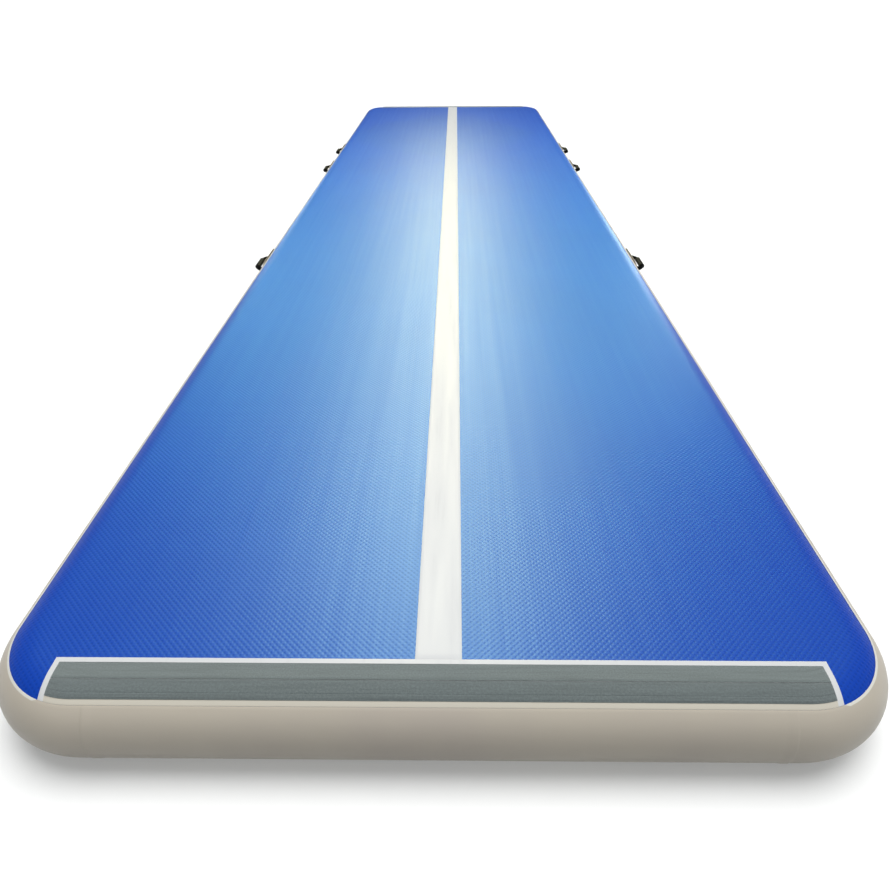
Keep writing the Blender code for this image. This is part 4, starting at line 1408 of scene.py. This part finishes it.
def build_camera():
    """The camera at the photograph's viewing angle, as fitted to the mat's outline."""
    camera = bpy.data.cameras.new("camera")
    camera.lens = CAMERA_LENS
    camera.sensor_width = 36
    camera.clip_end = 1000
    stand = add_object("camera", camera)
    turn = Matrix.Rotation(CAMERA_TURN, 4, "Z") @ Matrix.Rotation(QUARTER - CAMERA_DOWN, 4, "X")
    roll = Matrix.Rotation(CAMERA_ROLL, 4, "Z")
    stand.matrix_world = Matrix.Translation(CAMERA_PLACE) @ turn @ roll
    bpy.context.scene.camera = stand


def build_floor():
    """A pale floor just under the mat. Its own faint light makes the mat's shadow paler."""
    plane = bmesh.new()
    bmesh.ops.create_grid(plane, x_segments=1, y_segments=1, size=FLOOR_HALF)
    mesh = mesh_of("floor", plane)
    tree = Tree("floor", (0.9, 0.9, 0.89), 0.9, specular=0.05)
    grain = tree.noise(tree.place(), 40, 2.0)
    tree.set("Base Color", tree.shade(tree.fit(grain, 0.3, 0.7), 0.985))
    tree.set("Emission Color", (1, 1, 1, 1))
    tree.set("Emission Strength", FLOOR_LIGHT)
    mesh.materials.append(tree.material)
    floor = add_object("floor", mesh)
    floor.location.z = -FLOOR_GAP
    floor.visible_diffuse = False


def add_light(name, kind, power):
    light = bpy.data.lights.new(name, kind)
    light.energy = power
    return add_object(name, light)


def gloss_panel(name, place, size_x, size_y, power, colour, tip=0.0):
    """A panel that shows as a soft reflection and lights nothing else. It faces down, or as tipped."""
    panel = add_light(name, "AREA", power)
    panel.data.shape = "RECTANGLE"
    panel.data.size, panel.data.size_y = size_x, size_y
    panel.data.color = colour
    panel.location = place
    panel.rotation_euler.x = tip
    panel.visible_camera = panel.visible_diffuse = False
    return panel


def build_world():
    """A pale studio: bright in front, dimmer to the sides and beyond the far end.

    Beyond the far end a low glow stands on each side."""
    world = bpy.data.worlds.new("studio")
    world.use_nodes = True
    nodes, links = world.node_tree.nodes, world.node_tree.links
    background = nodes["Background"]
    coordinates = nodes.new("ShaderNodeTexCoord")
    axes = nodes.new("ShaderNodeSeparateXYZ")
    links.new(coordinates.outputs["Generated"], axes.inputs[0])

    def eased_range(value, low, high, to_low, to_high):
        node = nodes.new("ShaderNodeMapRange")
        node.interpolation_type = "SMOOTHSTEP"
        links.new(value, node.inputs["Value"])
        for socket, number in zip(list(node.inputs)[1:5], (low, high, to_low, to_high)):
            socket.default_value = number
        return node.outputs[0]

    def maths(operation, first, second=None):
        node = nodes.new("ShaderNodeMath")
        node.operation = operation
        links.new(first, node.inputs[0])
        if second:
            links.new(second, node.inputs[1])
        return node.outputs[0]

    toward_rear = eased_range(axes.outputs["Y"], -0.2, 0.95, 0.50, 0.12)
    toward_left = eased_range(axes.outputs["X"], -0.95, -0.15, 0.30, 1.0)
    toward_right = eased_range(axes.outputs["X"], 0.35, 0.95, 1.0, 0.6)
    all_round = maths("MULTIPLY", toward_rear, maths("MULTIPLY", toward_left, toward_right))
    aside = eased_range(maths("ABSOLUTE", axes.outputs["X"]), 0.22, 0.45, 0.0, 0.7)
    low_down = eased_range(axes.outputs["Z"], 0.10, 0.35, 1.0, 0.0)
    ahead = eased_range(axes.outputs["Y"], 0.2, 0.6, 0.0, 1.0)
    side_glow = maths("MULTIPLY", maths("MULTIPLY", aside, low_down), ahead)
    strength = maths("ADD", all_round, side_glow)
    links.new(strength, background.inputs["Strength"])
    background.inputs["Color"].default_value = (0.93, 0.97, 1.0, 1)
    bpy.context.scene.world = world


def build_lights():
    """A wide soft sun, a softbox near the front, and panels that show only in the mat's gloss."""
    sun = add_light("overhead", "SUN", 2.6)
    sun.data.angle = math.radians(50)
    sun.rotation_euler = (math.radians(-12), math.radians(6), 0)
    sun.visible_glossy = False
    for name, y, length, power, colour in (
        ("front_tube", -1.7, 1.6, 95, (0.95, 0.98, 0.82)),
        ("near_tubes", -0.4, 4.2, 250, (1.0, 0.94, 0.70)),
        ("far_tubes", 3.85, 4.3, 250, (1.0, 0.94, 0.46)),
    ):
        gloss_panel(name, (PANEL_X, y, PANEL_Z), TUBE_WIDTH, length, power, colour)
    softbox = add_light("softbox", "AREA", 13)
    softbox.data.size = 3.0
    softbox.location = (0.0, -0.5, 3.0)
    softbox.visible_camera = softbox.visible_glossy = False
    over_far_half = (PANEL_X, 2.2, PANEL_Z)
    ceiling = gloss_panel("pale_ceiling", over_far_half, 6.7, 4.6, 660, (0.15, 0.67, 0.47))
    windows = [
        gloss_panel("right_window", (3.0, 3.0, 0.9), 1.0, 1.0, 42, (0.75, 0.95, 0.95), -QUARTER),
        gloss_panel("left_window", (-3.0, 3.0, 0.9), 1.0, 1.0, 8, (0.6, 0.95, 0.95), -QUARTER),
        gloss_panel("far_right_window", (3.6, 6, 0.8), 1.2, 1.2, 30, (0.6, 0.9, 0.9), -QUARTER),
        gloss_panel("far_left_window", (-3.6, 6, 0.8), 1.2, 1.2, 30, (0.6, 0.9, 0.9), -QUARTER),
    ]
    top_only = bpy.data.collections.new("top_only")
    top_only.objects.link(bpy.data.objects["top_sheet_skin"])
    for panel in (ceiling, *windows):
        panel.light_linking.receiver_collection = top_only


bpy.context.scene.view_settings.view_transform = "Standard"
make_materials()
build_camera()
build_floor()
build_world()
build_sheets()
build_lights()
build_stripe()
build_walls()
build_band("front", -1)
build_band("rear", 1)
build_handles()
build_valve()
finish_kept_nodes()
